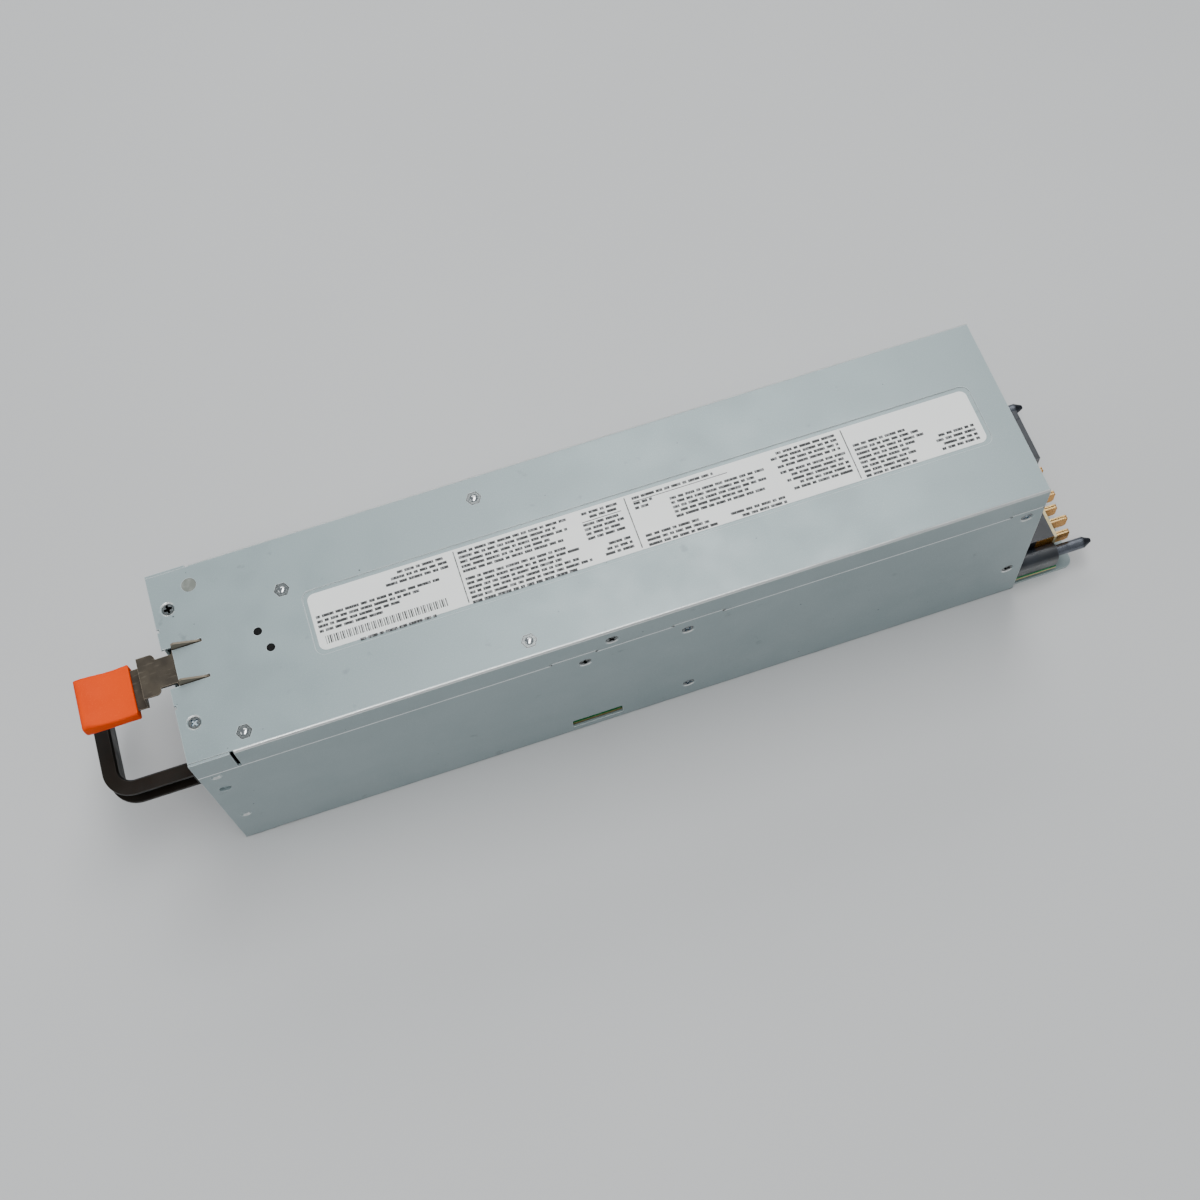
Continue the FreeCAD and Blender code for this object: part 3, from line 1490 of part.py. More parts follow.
def blade_places():
    """Centre line and reach of each power blade, alternately short and long."""
    places = []
    for step in range(POWER_BLADES):
        reach = size("blade_short") if step % 2 == 0 else size("blade_long")
        places.append((size("blade_pitch") * step - size("blade_first"), reach))
    return places


def make_power_blades():
    """Pairs of contact leaves joined at their root, with tapered tips."""
    pieces = []
    leaf = size("blade_leaf")
    slit = size("blade_slit") / 2
    root = board_rear - size("blade_seat")
    for number, (y, reach) in enumerate(blade_places()):
        body = new_body(f"power_blade_{number}")
        tip = board_rear + reach
        side = new_sketch(body, "XZ_Plane", -y)
        draw_polygon(side, [
            (root, blade_low), (tip - 0.8, blade_low), (tip, blade_low + 0.8),
            (tip, blade_high - 0.8), (tip - 0.8, blade_high), (root, blade_high),
        ])
        pad(body, side, leaf * 2 + slit * 2, midplane=True)
        gap = new_sketch(body, "XY_Plane", blade_high + 1)
        draw_rectangle(gap, (root + 2, tip + 1), (y - slit, y + slit))
        pocket(body, gap, size("blade_height") + 2)
        pieces.append(body)
    return keep("power_blades", group("power_blades", pieces))


def make_contact_plate():
    """Thin plate on the housing's face that the power blades pass through."""
    last_y = blade_places()[-1][0]
    first_y = blade_places()[0][0]
    thickness = size("plate_thickness")
    x_range = (board_rear, board_rear + thickness)
    half_slot = size("blade_leaf") + size("blade_slit") / 2 + size("blade_clearance")
    y_range = (first_y - half_slot - size("plate_edge"), last_y + size("blade_pitch") / 2)
    plate = block("contact_plate_blank", x_range, y_range, (blade_low - steel, size("housing_top")))
    slots = []
    for number, (y, reach) in enumerate(blade_places()):
        slot_y = (y - half_slot, y + half_slot)
        slot_z = (blade_low - size("blade_clearance"), blade_high + size("blade_clearance"))
        slot_x = (board_rear - over, board_rear + thickness + over)
        slots.append(block(f"contact_plate_slot_{number}", slot_x, slot_y, slot_z))
    return keep("contact_plate", cut("contact_plate", plate, slots))


def make_signal_contacts():
    """Small sockets at the bottom of the signal holes."""
    half = size("signal_hole") / 2
    start = board_rear + size("signal_reach") - size("signal_hole_depth")
    y, z = signal_origin
    contact = block("signal_contact", (0, 4.0), (-half, half), (-half, half))
    spots = []
    for column in range(SIGNAL_COLUMNS):
        for row in range(SIGNAL_ROWS):
            pitch = size("signal_pitch")
            spots.append(at_point(start, y + pitch * column, z + pitch * row))
    return keep("signal_contacts", repeat("signal_contacts", contact, spots))


def make_guide_pins():
    """Guide pins seated in the bosses, each with a conical lead."""
    pieces = []
    radius = size("guide_pin_radius")
    seat = size("guide_pin_seat")
    reach = size("guide_pin_reach")
    lead = size("guide_pin_cone")
    tip = size("guide_pin_tip_radius")
    for number, side in enumerate((-1, 1)):
        name = f"guide_pin_{number}"
        y = side * guide_y
        high = size("guide_high")
        seat_at = (board_rear - seat + 0.2, y, high)
        root = prism(name + "_root", BORE_SIDES, size("guide_pin_seat_radius") * 2, seat, seat_at, "x")
        shank = rod(name + "_shank", radius, reach - lead, (board_rear, y, high), "x")
        nose = cone(name + "_nose", radius, tip, lead, (board_rear + reach - lead, y, high), "x")
        pieces.append(fuse(name, [root, shank, nose]))
    return keep("guide_pins", group("guide_pins", pieces))


def make_rear_bulkhead():
    """Vented rear wall with flanges along the side walls."""
    body = new_body("rear_bulkhead_body")
    plate_back = rear - size("bulkhead_inset")
    low = size("bulkhead_low")
    depth = size("bulkhead_flange")
    outline = new_sketch(body, "YZ_Plane", plate_back - depth)
    draw_rectangle(outline, (-inside_half, inside_half), (low, cover_under))
    pad(body, outline, depth)
    hollow = new_sketch(body, "YZ_Plane", plate_back - depth - over)
    draw_rectangle(hollow, (-inside_half + steel, inside_half - steel), (low - over, cover_under - steel))
    pocket(body, hollow, depth + over - steel, reverse=True)
    vent = new_sketch(body, "YZ_Plane", plate_back)
    pitch = size("vent_pitch")
    start_y = pitch * (-0.5 * (VENT_COLUMNS - 1)) - size("vent_width") / 2
    start_z = low + size("vent_lift")
    draw_rectangle(vent, (start_y, start_y + size("vent_width")), (start_z, start_z + size("vent_height")))
    first = pocket(body, vent, steel + over)
    pattern(body, first, [
        ("H_Axis", pitch * (VENT_COLUMNS - 1), VENT_COLUMNS),
        ("V_Axis", size("vent_row_pitch") * (VENT_ROWS - 1), VENT_ROWS),
    ])
    holes = []
    for number, z in enumerate((size("rear_screw_low"), size("rear_screw_high"))):
        at = (rear_screw_x, -half_width, z)
        holes.append(prism(f"bulkhead_hole_{number}", BORE_SIDES, screw_hole * 2, half_width * 2, at, "y"))
    return keep("rear_bulkhead", cut("rear_bulkhead", body, holes))


def make_fan_frame():
    """Square fan frame with a round duct, three struts, a motor base and a bearing tube."""
    body = new_body("fan_frame_body")
    high = size("fan_high")
    half = size("fan_square") / 2
    depth = size("fan_depth")
    square = new_sketch(body, "YZ_Plane", fan_front)
    draw_rounded(square, (-half, half), (high - half, high + half), size("fan_corner"))
    pad(body, square, depth)
    cutters = fan_screw_cutters("frame", fan_front, depth)
    shell = cut("fan_frame_shell", body, [duct_cutter("frame", fan_front, depth)])

    base_thickness = size("fan_base_thickness")
    base_x = fan_front + depth - base_thickness
    base_flats = size("fan_base_radius") * 2
    base = prism("fan_motor_base", CAN_SIDES, base_flats, base_thickness, (base_x, 0, high), "x")
    tube_length = size("fan_tube_length")
    tube_at = (base_x - tube_length, 0, high)
    tube = prism("fan_bearing_tube", ROUND_SIDES, size("fan_tube_radius") * 2, tube_length, tube_at, "x")
    struts = []
    for number in range(FAN_STRUTS):
        reach = (size("fan_base_radius") - 1, size("fan_duct_radius") + 1)
        x_range = (base_x, base_x + base_thickness)
        angle = 360 / FAN_STRUTS * number + 30
        struts.append(spoke(f"fan_strut_{number}", x_range, size("fan_strut_width"), reach, high, angle))
    bore_radius = size("fan_shaft_radius") + size("fan_shaft_clearance")
    bore_at = (base_x - tube_length - over, 0, high)
    cutters.append(rod("fan_bearing_bore", bore_radius, tube_length + over, bore_at, "x"))
    solid = fuse("fan_frame_solid", [shell, base, tube] + struts)
    return keep("fan_frame", cut("fan_frame_bored", solid, cutters))


def duct_cutter(name, start, depth):
    """The fan's air passage through a piece that starts at a station and has a given depth."""
    at = (start - over, 0, size("fan_high"))
    return prism(f"fan_{name}_duct", DUCT_SIDES, size("fan_duct_radius") * 2, depth + over * 2, at, "x")


def fan_screw_cutters(name, start, depth):
    """Screw holes through a piece that starts at a station and has a given depth."""
    flats = (size("fan_screw_radius") + size("screw_clearance")) * 2
    cutters = []
    for number, (y, z) in enumerate(fan_screw_places()):
        at = (start - over, y, z)
        cutters.append(prism(f"fan_{name}_hole_{number}", BORE_SIDES, flats, depth + over * 2, at, "x"))
    return cutters


def make_fan_rotor():
    """Cup-shaped hub on its shaft, with pitched blades."""
    high = size("fan_high")
    base_x = fan_front + size("fan_depth") - size("fan_base_thickness")
    hub_end = base_x - size("fan_hub_gap")
    hub_length = size("fan_hub_length")
    hub_start = hub_end - hub_length
    wall = size("fan_hub_wall")
    hub_radius = size("fan_hub_radius")
    cup = prism("fan_hub_cup", CAN_SIDES, hub_radius * 2, hub_length, (hub_start, 0, high), "x")
    hollow_flats = (hub_radius - wall) * 2
    hollow = prism("fan_hub_hollow", CAN_SIDES, hollow_flats, hub_length, (hub_start + wall, 0, high), "x")
    hub = cut("fan_hub", cup, [hollow])
    shaft_x = hub_start + wall / 2
    shaft_length = hub_length - wall / 2
    shaft = rod("fan_shaft", size("fan_shaft_radius"), shaft_length, (shaft_x, 0, high), "x")

    blade_x = hub_start + size("fan_blade_setback")
    depth = size("fan_blade_depth")
    lean = math.radians(float(size("fan_blade_angle")))
    rise = depth * (0.5 * math.tan(lean))
    half_thick = size("fan_blade_thickness") * (0.5 / math.cos(lean))
    tip_radius = size("fan_duct_radius") - size("fan_tip_gap")
    root = size("fan_blade_root")
    body = new_body("fan_blade_plate")
    profile = new_sketch(body, "XY_Plane", high + root)
    draw_polygon(profile, [
        (blade_x, -rise - half_thick), (blade_x + depth, rise - half_thick),
        (blade_x + depth, rise + half_thick), (blade_x, -rise + half_thick),
    ])
    pad(body, profile, tip_radius - root + over)
    rim_flats = tip_radius * (2 * math.cos(math.pi / DUCT_SIDES))
    rim = prism("fan_blade_rim", DUCT_SIDES, rim_flats, hub_length, (hub_start, 0, high), "x")
    clear_flats = hub_radius * 2 - wall
    hub_clear = prism("fan_hub_clear", CAN_SIDES, clear_flats, hub_length, (hub_start, 0, high), "x")
    blade = cut("fan_blade", common("fan_blade_round", [body, rim]), [hub_clear])
    turns = []
    for number in range(FAN_BLADES):
        turn = FreeCAD.Rotation(FreeCAD.Vector(1, 0, 0), 360.0 * number / FAN_BLADES)
        turns.append(at_point(0, 0, high, turn).multiply(at_point(0, 0, -high)))
    blades = repeat("fan_blades", blade, turns)
    return keep("fan_rotor", fuse("fan_rotor", [hub, shaft, blades]))


def make_fan_bracket():
    """Baffle behind the fan with an air opening and flanges to the case."""
    body = new_body("fan_bracket_body")
    start = fan_front + size("fan_depth")
    depth = size("bracket_depth")
    low = board_top + size("bracket_gap")
    high_edge = cover_under - size("recess_depth") - size("bracket_gap")
    outline = new_sketch(body, "YZ_Plane", start)
    draw_rectangle(outline, (-inside_half, inside_half), (low, high_edge))
    pad(body, outline, depth)
    hollow = new_sketch(body, "YZ_Plane", start + steel)
    draw_rectangle(hollow, (-inside_half + steel, inside_half - steel), (low - over, high_edge - steel))
    pocket(body, hollow, depth, reverse=True)
    cutters = [duct_cutter("bracket", start, steel)] + fan_screw_cutters("bracket", start, steel)
    return keep("fan_bracket", cut("fan_bracket", body, cutters))


def fan_screw_places():
    spread = size("fan_hole_spread") / 2
    high = size("fan_high")
    return [(y, z) for y in (-spread, spread) for z in (high - spread, high + spread)]


def make_fan_screws():
    pieces = []
    back = fan_front + size("fan_depth")
    grip = size("fan_screw_grip")
    radius = size("fan_screw_radius")
    shank_flats = radius * (2 * math.cos(math.pi / BORE_SIDES))
    for number, (y, z) in enumerate(fan_screw_places()):
        name = f"fan_screw_{number}"
        shank = prism(name + "_shank", BORE_SIDES, shank_flats, grip + steel, (back - grip, y, z), "x")
        head_at = (back + steel, y, z)
        head = prism(name + "_head", BORE_SIDES, radius * 3.6, size("fan_screw_head_height"), head_at, "x")
        pieces.append(fuse(name, [shank, head]))
    return keep("fan_screws", group("fan_screws", pieces))


def make_heat_sink(name, side):
    """Extruded heat sink against one side wall, with fins over its upper part."""
    body = new_body(name + "_body")
    base = size("sink_base")
    wall = inside_half
    low = size("sink_low")
    top = cover_under - size("sink_top_gap")
    start = sink_screw_x[0] - size("sink_margin")
    length = size("sink_screw_spacing") + size("sink_margin") * 2
    outline = new_sketch(body, "YZ_Plane", start)
    if side < 0:
        plate = (-wall, -wall + base)
        fin_y = (-wall + base - 0.5, -wall + base + size("sink_fin_length"))
    else:
        plate = (wall - base, wall)
        fin_y = (wall - base - size("sink_fin_length"), wall - base + 0.5)
    draw_rectangle(outline, plate, (low, top))
    pad(body, outline, length)
    fin = new_sketch(body, "YZ_Plane", start)
    fin_low = size("sink_fin_low")
    draw_rectangle(fin, fin_y, (fin_low, fin_low + size("sink_fin_thickness")))
    first = pad(body, fin, length)
    doc.recompute()
    pattern(body, first, [("V_Axis", size("sink_fin_pitch") * (SINK_FINS - 1), SINK_FINS)])
    holes = []
    depth = size("screw_length") + over
    hole_y = -wall - over if side < 0 else wall + over - depth
    for number, (x, z) in enumerate(tray_screws[:3] + [(flange_screw_x, flange_screw_z)]):
        at = (x, hole_y, z)
        holes.append(prism(f"{name}_hole_{number}", BORE_SIDES, screw_hole * 2, depth, at, "y"))
    return keep(name, cut(name, body, holes))


def make_devices(name, side):
    """Power devices clamped to the flat lower part of a heat sink."""
    base = size("sink_base")
    thickness = size("device_thickness")
    face = inside_half - base
    y = (-face, -face + thickness) if side < 0 else (face - thickness, face)
    start = sink_screw_x[0] - size("sink_margin") + 4.0
    low = size("sink_low") + size("device_lift")
    pieces = []
    for number in range(4):
        x = start + size("device_pitch") * number
        piece = f"{name}_{number}"
        case = block(piece + "_case", (x, x + size("device_width")), y, (low, low + size("device_height")))
        legs = []
        for leg in range(3):
            middle_y = (y[0] + y[1]) / 2
            leg_x = x + size("device_width") * (0.2 + 0.3 * leg)
            legs.append(block(
                f"{piece}_leg_{leg}", (leg_x - 0.6, leg_x + 0.6), (middle_y - 0.4, middle_y + 0.4),
                (board_top, low + 1),
            ))
        pieces.append(fuse(piece, [case] + legs))
    return keep(name, group(name, pieces))


def make_filter_parts():
    """Chokes, line capacitors, fuse, relay and bridge between fan and heat sinks."""
    start = fan_front + size("fan_depth") + 12.0
    wire = size("choke_wire_radius")
    outer = size("choke_ring_radius") + wire
    keep("filter_choke", coil("filter_choke", size("choke_ring_radius"), wire,
                              (start, -inside_half * 0.5, board_top + outer), "x"))
    depth = size("line_capacitor_depth")
    width = size("line_capacitor_width")
    high = (board_top, board_top + size("line_capacitor_height"))
    pieces = []
    for number in range(2):
        x = start + (depth + 3.0) * number
        pieces.append(block(f"line_capacitor_{number}", (x, x + depth), (as_size(6), width + 6), high))
    keep("line_capacitors", group("line_capacitors", pieces))
    radius = size("fuse_radius")
    fuse_at = (start + wire * 2 + 6.0, -inside_half * 0.5 - size("fuse_length") / 2, board_top + radius)
    keep("line_fuse", prism("line_fuse", ROUND_SIDES, radius * 2, size("fuse_length"), fuse_at, "y"))
    relay_x = start + depth * 2 + 6.0
    keep("inrush_relay", block("inrush_relay", (relay_x, relay_x + size("relay_length")),
                               (as_size(10), size("relay_width") + 10),
                               (board_top, board_top + size("relay_height"))))
    bridge_x = fuse_at[0] + radius + 5.0
    half = size("bridge_width") / 2
    middle = -inside_half * 0.5
    keep("bridge_rectifier", block("bridge_rectifier", (bridge_x, bridge_x + size("bridge_thickness")),
                                   (middle - half, middle + half),
                                   (board_top, board_top + size("bridge_height"))))


def make_boost_parts():
    """Boost choke and bulk capacitors between the two heat sinks."""
    wire = size("boost_wire_radius")
    centre = sink_screw_x[0] - 7.0
    keep("boost_choke", coil("boost_choke", size("boost_ring_radius"), wire, (centre, 0, board_top)))
    radius = size("bulk_radius")
    first = centre + size("boost_ring_radius") + wire + radius + 1.0
    pieces = []
    for row in range(2):
        for side in (-1, 1):
            name = f"bulk_capacitor_{row}_{side + 1}"
            at = (first + (radius * 2 + 2) * row, side * (radius + 0.6), board_top)
            pieces.append(prism(name, CAN_SIDES, radius * 2, size("bulk_height"), at))
    keep("bulk_capacitors", group("bulk_capacitors", pieces))


def make_main_transformer():
    """Window core with a rectangular winding around its centre leg."""
    middle = sink_screw_x[1] + size("sink_margin") + 35.0
    half_length_of_core = size("core_length") / 2
    half_core = size("core_width") / 2
    top = board_top + size("core_height")
    yoke = size("core_yoke")
    half_leg = size("core_leg") / 2
    gap = size("winding_gap")
    build = size("winding_build")
    body = new_body("transformer_core")
    outline = new_sketch(body, "YZ_Plane", middle - half_length_of_core)
    draw_rectangle(outline, (-half_core, half_core), (board_top, top))
    pad(body, outline, size("core_length"))
    windows = new_sketch(body, "YZ_Plane", middle - half_length_of_core)
    for side in (-1, 1):
        inner = side * half_leg
        outer = side * (half_leg + build + gap * 2)
        window_y = (inner, outer) if side > 0 else (outer, inner)
        draw_rectangle(windows, window_y, (board_top + yoke, top - yoke))
    pocket(body, windows, size("core_length") + 1, reverse=True)
    keep("transformer_core", body)
    high = (board_top + yoke + gap, top - yoke - gap)
    shell_x = half_length_of_core + gap + build
    shell_y = half_leg + gap + build
    shell = block("winding_shell", (middle - shell_x, middle + shell_x), (-shell_y, shell_y), high)
    bore_x = half_length_of_core + gap
    bore_y = half_leg + gap
    bore = block(
        "winding_bore", (middle - bore_x, middle + bore_x), (-bore_y, bore_y), (high[0] - 1, high[1] + 1)
    )
    keep("transformer_winding", cut("transformer_winding", shell, [bore]))
    return middle + shell_x


def make_output_parts(start):
    """Output choke, capacitors, bus bars, standby transformer and control card."""
    wire = size("output_wire_radius")
    outer = size("output_ring_radius") + wire
    ring_x = start + outer + 1.0
    keep("output_choke", coil("output_choke", size("output_ring_radius"), wire,
                              (ring_x, -inside_half * 0.5, board_top)))
    radius = size("output_cap_radius")
    pieces = []
    for column in range(4):
        for row in range(2):
            x = ring_x + (radius * 2 + size("output_cap_gap")) * column
            y = (radius * 2 + size("output_cap_gap")) * row + radius
            pieces.append(prism(f"output_capacitor_{column}_{row}", BORE_SIDES, radius * 2,
                                size("output_cap_height"), (x, y, board_top)))
    keep("output_capacitors", group("output_capacitors", pieces))
    bar_end = board_rear - size("housing_depth")
    bar_start = bar_end - size("bar_length") / 2
    bars = []
    for number in range(2):
        y = -inside_half * 0.75 + size("bar_spacing") * number
        bars.append(block(f"bus_bar_{number}", (bar_start, bar_end), (y, y + size("bar_thickness")),
                          (board_top, board_top + size("bar_height"))))
    keep("bus_bars", group("bus_bars", bars))
    standby_x = sink_screw_x[1] + size("sink_margin") + 16.0
    standby_y = inside_half - size("standby_width") - 2.0
    keep("standby_transformer", block("standby_transformer", (standby_x, standby_x + size("standby_length")),
                                      (standby_y, standby_y + size("standby_width")),
                                      (board_top, board_top + size("standby_height"))))
    card_x = standby_x + size("standby_length") + 6.0
    card_y = inside_half - 10.0
    keep("control_card", block("control_card", (card_x, card_x + size("card_length")),
                               (card_y, card_y + size("board_thickness")),
                               (board_top, board_top + size("card_height"))))


def check_model():
    """Stops if a feature failed or a finished piece has no valid solid."""
    doc.recompute()
    for item in doc.Objects:
        if "Invalid" in item.State or "Error" in item.State:
            raise RuntimeError(f"{item.Label} failed")
    for item in subparts:
        shape = item.Shape
        if shape.isNull() or not shape.isValid() or not shape.Solids:
            raise RuntimeError(f"{item.Label} has no valid solid")


def export_parts():
    os.makedirs("parts", exist_ok=True)
    for item in subparts:
        item.Shape.exportStep(os.path.join("parts", item.Label + ".step"))


make_chassis_tray()
make_top_cover()
make_front_panel()
make_case_screws()
make_cover_inserts()
make_cover_plug_rivet()
make_rating_label()
make_pull_handle()
make_handle_screws()
make_latch_root()
make_latch_rivets()
make_latch_leaf()
make_latch_grip()
make_ac_inlet()
make_inlet_pins()
make_status_lamps()
make_main_board()
make_board_fasteners()
make_insulator_sheet()
make_connector_housing()
make_power_blades()
make_contact_plate()
make_signal_contacts()
make_guide_pins()
make_rear_bulkhead()
make_fan_frame()
make_fan_rotor()
make_fan_bracket()
make_fan_screws()
make_heat_sink("primary_heat_sink", -1)
make_heat_sink("secondary_heat_sink", 1)
make_devices("primary_transistors", -1)
make_devices("output_rectifiers", 1)
make_filter_parts()
make_boost_parts()
make_output_parts(make_main_transformer())
check_model()
export_parts()
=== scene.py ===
import math

import bmesh
import bpy
from mathutils import Matrix, Vector


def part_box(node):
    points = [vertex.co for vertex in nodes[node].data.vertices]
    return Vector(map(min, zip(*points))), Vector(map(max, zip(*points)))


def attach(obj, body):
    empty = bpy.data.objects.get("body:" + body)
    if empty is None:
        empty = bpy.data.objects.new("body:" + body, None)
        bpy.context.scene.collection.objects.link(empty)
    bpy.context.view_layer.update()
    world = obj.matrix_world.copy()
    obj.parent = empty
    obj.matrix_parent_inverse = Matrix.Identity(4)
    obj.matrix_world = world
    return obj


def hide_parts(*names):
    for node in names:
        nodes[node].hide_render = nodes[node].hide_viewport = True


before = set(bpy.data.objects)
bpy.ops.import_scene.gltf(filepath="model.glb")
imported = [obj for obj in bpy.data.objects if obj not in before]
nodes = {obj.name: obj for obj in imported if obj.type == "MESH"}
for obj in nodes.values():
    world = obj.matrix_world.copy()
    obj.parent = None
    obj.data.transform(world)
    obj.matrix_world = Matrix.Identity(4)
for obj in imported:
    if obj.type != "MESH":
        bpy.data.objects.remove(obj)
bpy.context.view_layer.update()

# Camera

CAMERA_PLACE = (-0.06009, -0.28911, 0.66128)
CAMERA_RIGHT = (0.94945, -0.30930, -0.05370)
CAMERA_UP = (0.30254, 0.85588, 0.41946)
CAMERA_BACK = (-0.08378, -0.41450, 0.90618)
LENS = 49.89
SENSOR_WIDTH = 36
NEAR_CLIP = 0.01


def make_camera():
    """The camera that was fitted to the case's edges in the photograph."""
    camera = bpy.data.objects.new("camera", bpy.data.cameras.new("camera"))
    bpy.context.scene.collection.objects.link(camera)
    turn = Matrix((CAMERA_RIGHT, CAMERA_UP, CAMERA_BACK)).transposed()
    camera.matrix_world = Matrix.Translation(CAMERA_PLACE) @ turn.to_4x4()
    camera.data.lens = LENS
    camera.data.sensor_width = SENSOR_WIDTH
    camera.data.clip_start = NEAR_CLIP
    bpy.context.scene.camera = camera


# Materials

BEVEL_SAMPLES = 6
FLAT_DOT = 0.995
SHARP_DOT = 0.9
MIDDLE_NOISE = (0.35, 0.65)
SPECK_CORE = 0.6
CHOICE_BLUR = 0.95
DOT_CORE = 0.7
SIDEWAYS = (0.8, 0.95)


def linear(color):
    """Scene-linear colour from 0 to 255 screen values."""
    return tuple((c / 255 / 12.92) if c <= 10 else ((c / 255 + 0.055) / 1.055) ** 2.4 for c in color)


class Surface:
    """A procedural material on the object's own coordinates, in metres."""

    def __init__(self, name, color, roughness, metallic=0.0):
        self.material = bpy.data.materials.new(name)
        self.material.use_nodes = True
        self.tree = self.material.node_tree
        self.shader = self.tree.nodes["Principled BSDF"]
        self.place = self.add("ShaderNodeTexCoord").outputs["Object"]
        self.color = self.socket(color)
        self.roughness = roughness
        self.shader.inputs["Metallic"].default_value = metallic
        self.normal = None

    def add(self, kind, **values):
        """A new node whose sockets and settings are given by name."""
        node = self.tree.nodes.new(kind)
        for key, value in values.items():
            target = node.inputs.get(key.replace("_", " "))
            if target is None:
                setattr(node, key, value)
            else:
                self.feed(target, value)
        return node

    def feed(self, target, value):
        """Links a socket to an input, or sets the input to a plain value."""
        if isinstance(value, bpy.types.NodeSocket):
            self.tree.links.new(value, target)
        else:
            target.default_value = value

    def socket(self, color):
        return color if isinstance(color, bpy.types.NodeSocket) else (*linear(color), 1)

    def noise(self, scale, detail=3.0, stretch=(1, 1, 1)):
        """A noise value of about 0.5 with a number of waves per metre."""
        scaled = self.add("ShaderNodeMapping", Vector=self.place, Scale=stretch)
        return self.add(
            "ShaderNodeTexNoise", Vector=scaled.outputs["Vector"], Scale=scale, Detail=detail
        ).outputs["Fac"]

    def span(self, value, low, high, to_low=0.0, to_high=1.0):
        """Maps a value from one range to another and clamps it."""
        node = self.add("ShaderNodeMapRange")
        for index, number in enumerate((value, low, high, to_low, to_high)):
            self.feed(node.inputs[index], number)
        return node.outputs["Result"]

    def math(self, operation, first, second=0.0):
        """The result of a sum, product or other operation on one or two values."""
        node = self.add("ShaderNodeMath", operation=operation)
        self.feed(node.inputs[0], first)
        self.feed(node.inputs[1], second)
        return node.outputs["Value"]

    def tint(self, mask, color):
        """Lays a second colour over the first where the mask is 1."""
        # A colour mix has its two colours at inputs 6 and 7, and its result at output 2
        node = self.add("ShaderNodeMix", data_type="RGBA")
        self.feed(node.inputs[0], mask)
        self.feed(node.inputs[6], self.color)
        self.feed(node.inputs[7], self.socket(color))
        self.color = node.outputs[2]

    def mottle(self, scale, color, low=0.42, high=0.62, detail=3.0, stretch=(1, 1, 1)):
        """Patches of a second colour where the noise is high."""
        self.tint(self.span(self.noise(scale, detail, stretch), low, high), color)

    def uneven(self, scale, rough_low, rough_high, stretch=(1, 1, 1)):
        """Roughness that wanders between two values."""
        noise = self.noise(scale, 4.0, stretch)
        self.roughness = self.span(noise, *MIDDLE_NOISE, rough_low, rough_high)

    def grain(self, scale, distance, strength=0.5, stretch=(1, 1, 1), detail=2.0):
        """Fine relief whose depth is given in metres."""
        height = self.noise(scale, detail, stretch)
        bump = self.add("ShaderNodeBump", Height=height, Strength=strength, Distance=distance)
        if self.normal is not None:
            self.feed(bump.inputs["Normal"], self.normal)
        self.normal = bump.outputs["Normal"]

    def edges(self, radius):
        """Mask that is 1 along sharp edges, within a radius in metres."""
        rounded = self.add("ShaderNodeBevel", samples=BEVEL_SAMPLES, Radius=radius)
        flat = self.add("ShaderNodeNewGeometry").outputs["Normal"]
        dot = self.add("ShaderNodeVectorMath", operation="DOT_PRODUCT")
        self.feed(dot.inputs[0], rounded.outputs["Normal"])
        self.feed(dot.inputs[1], flat)
        return self.span(dot.outputs["Value"], FLAT_DOT, SHARP_DOT)

    def soften(self, radius):
        """Rounds the shading of sharp edges."""
        rounded = self.add("ShaderNodeBevel", samples=BEVEL_SAMPLES, Radius=radius)
        self.normal = rounded.outputs["Normal"]

    def axis(self, letter):
        """The place along an axis, in metres."""
        return self.add("ShaderNodeSeparateXYZ", Vector=self.place).outputs[letter]

    def facing(self, letter):
        """How far the surface faces along an axis, from -1 to 1."""
        normal = self.add("ShaderNodeNewGeometry").outputs["Normal"]
        return self.add("ShaderNodeSeparateXYZ", Vector=normal).outputs[letter]

    def on_sides(self):
        """Mask that is 1 on the faces that look along Y, either way."""
        return self.span(self.math("ABSOLUTE", self.facing("Y")), *SIDEWAYS)

    def specks(self, per_metre, radius, share, color):
        """Scattered small marks on the top and side faces."""
        across = self.math("ADD", self.axis("Y"), self.axis("Z"))
        flat = self.add("ShaderNodeCombineXYZ", X=self.axis("X"), Y=across).outputs["Vector"]
        cells = self.add("ShaderNodeTexVoronoi", voronoi_dimensions="2D", Vector=flat, Scale=per_metre)
        chance = self.add("ShaderNodeSeparateColor", Color=cells.outputs["Color"])
        rim = radius * per_metre
        inside = self.span(cells.outputs["Distance"], rim, rim * SPECK_CORE)
        chosen = self.span(chance.outputs["Red"], share, share * CHOICE_BLUR)
        self.tint(self.math("MULTIPLY", inside, chosen), color)

    def within(self, value, low, high, blur=0.00005):
        """Mask that is 1 where a length lies between two limits."""
        above = self.span(value, low - blur, low + blur)
        below = self.span(value, high + blur, high - blur)
        return self.math("MULTIPLY", above, below)

    def side_dot(self, x, z, radius, color):
        """A round mark on both side walls."""
        across = self.math("SUBTRACT", self.axis("X"), x)
        up = self.math("SUBTRACT", self.axis("Z"), z)
        squares = self.math("ADD", self.math("MULTIPLY", across, across), self.math("MULTIPLY", up, up))
        inside = self.span(self.math("SQRT", squares), radius, radius * DOT_CORE)
        self.tint(self.math("MULTIPLY", inside, self.on_sides()), color)

    def done(self, nodes_named=(), **inputs):
        """Connects what was built and gives the material to CAD nodes."""
        self.feed(self.shader.inputs["Base Color"], self.color)
        self.feed(self.shader.inputs["Roughness"], self.roughness)
        if self.normal is not None:
            self.feed(self.shader.inputs["Normal"], self.normal)
        for key, value in inputs.items():
            self.feed(self.shader.inputs[key.replace("_", " ")], value)
        for name in nodes_named:
            dress(nodes[name], self.material)
        return self.material


SMOOTH_BELOW = 32


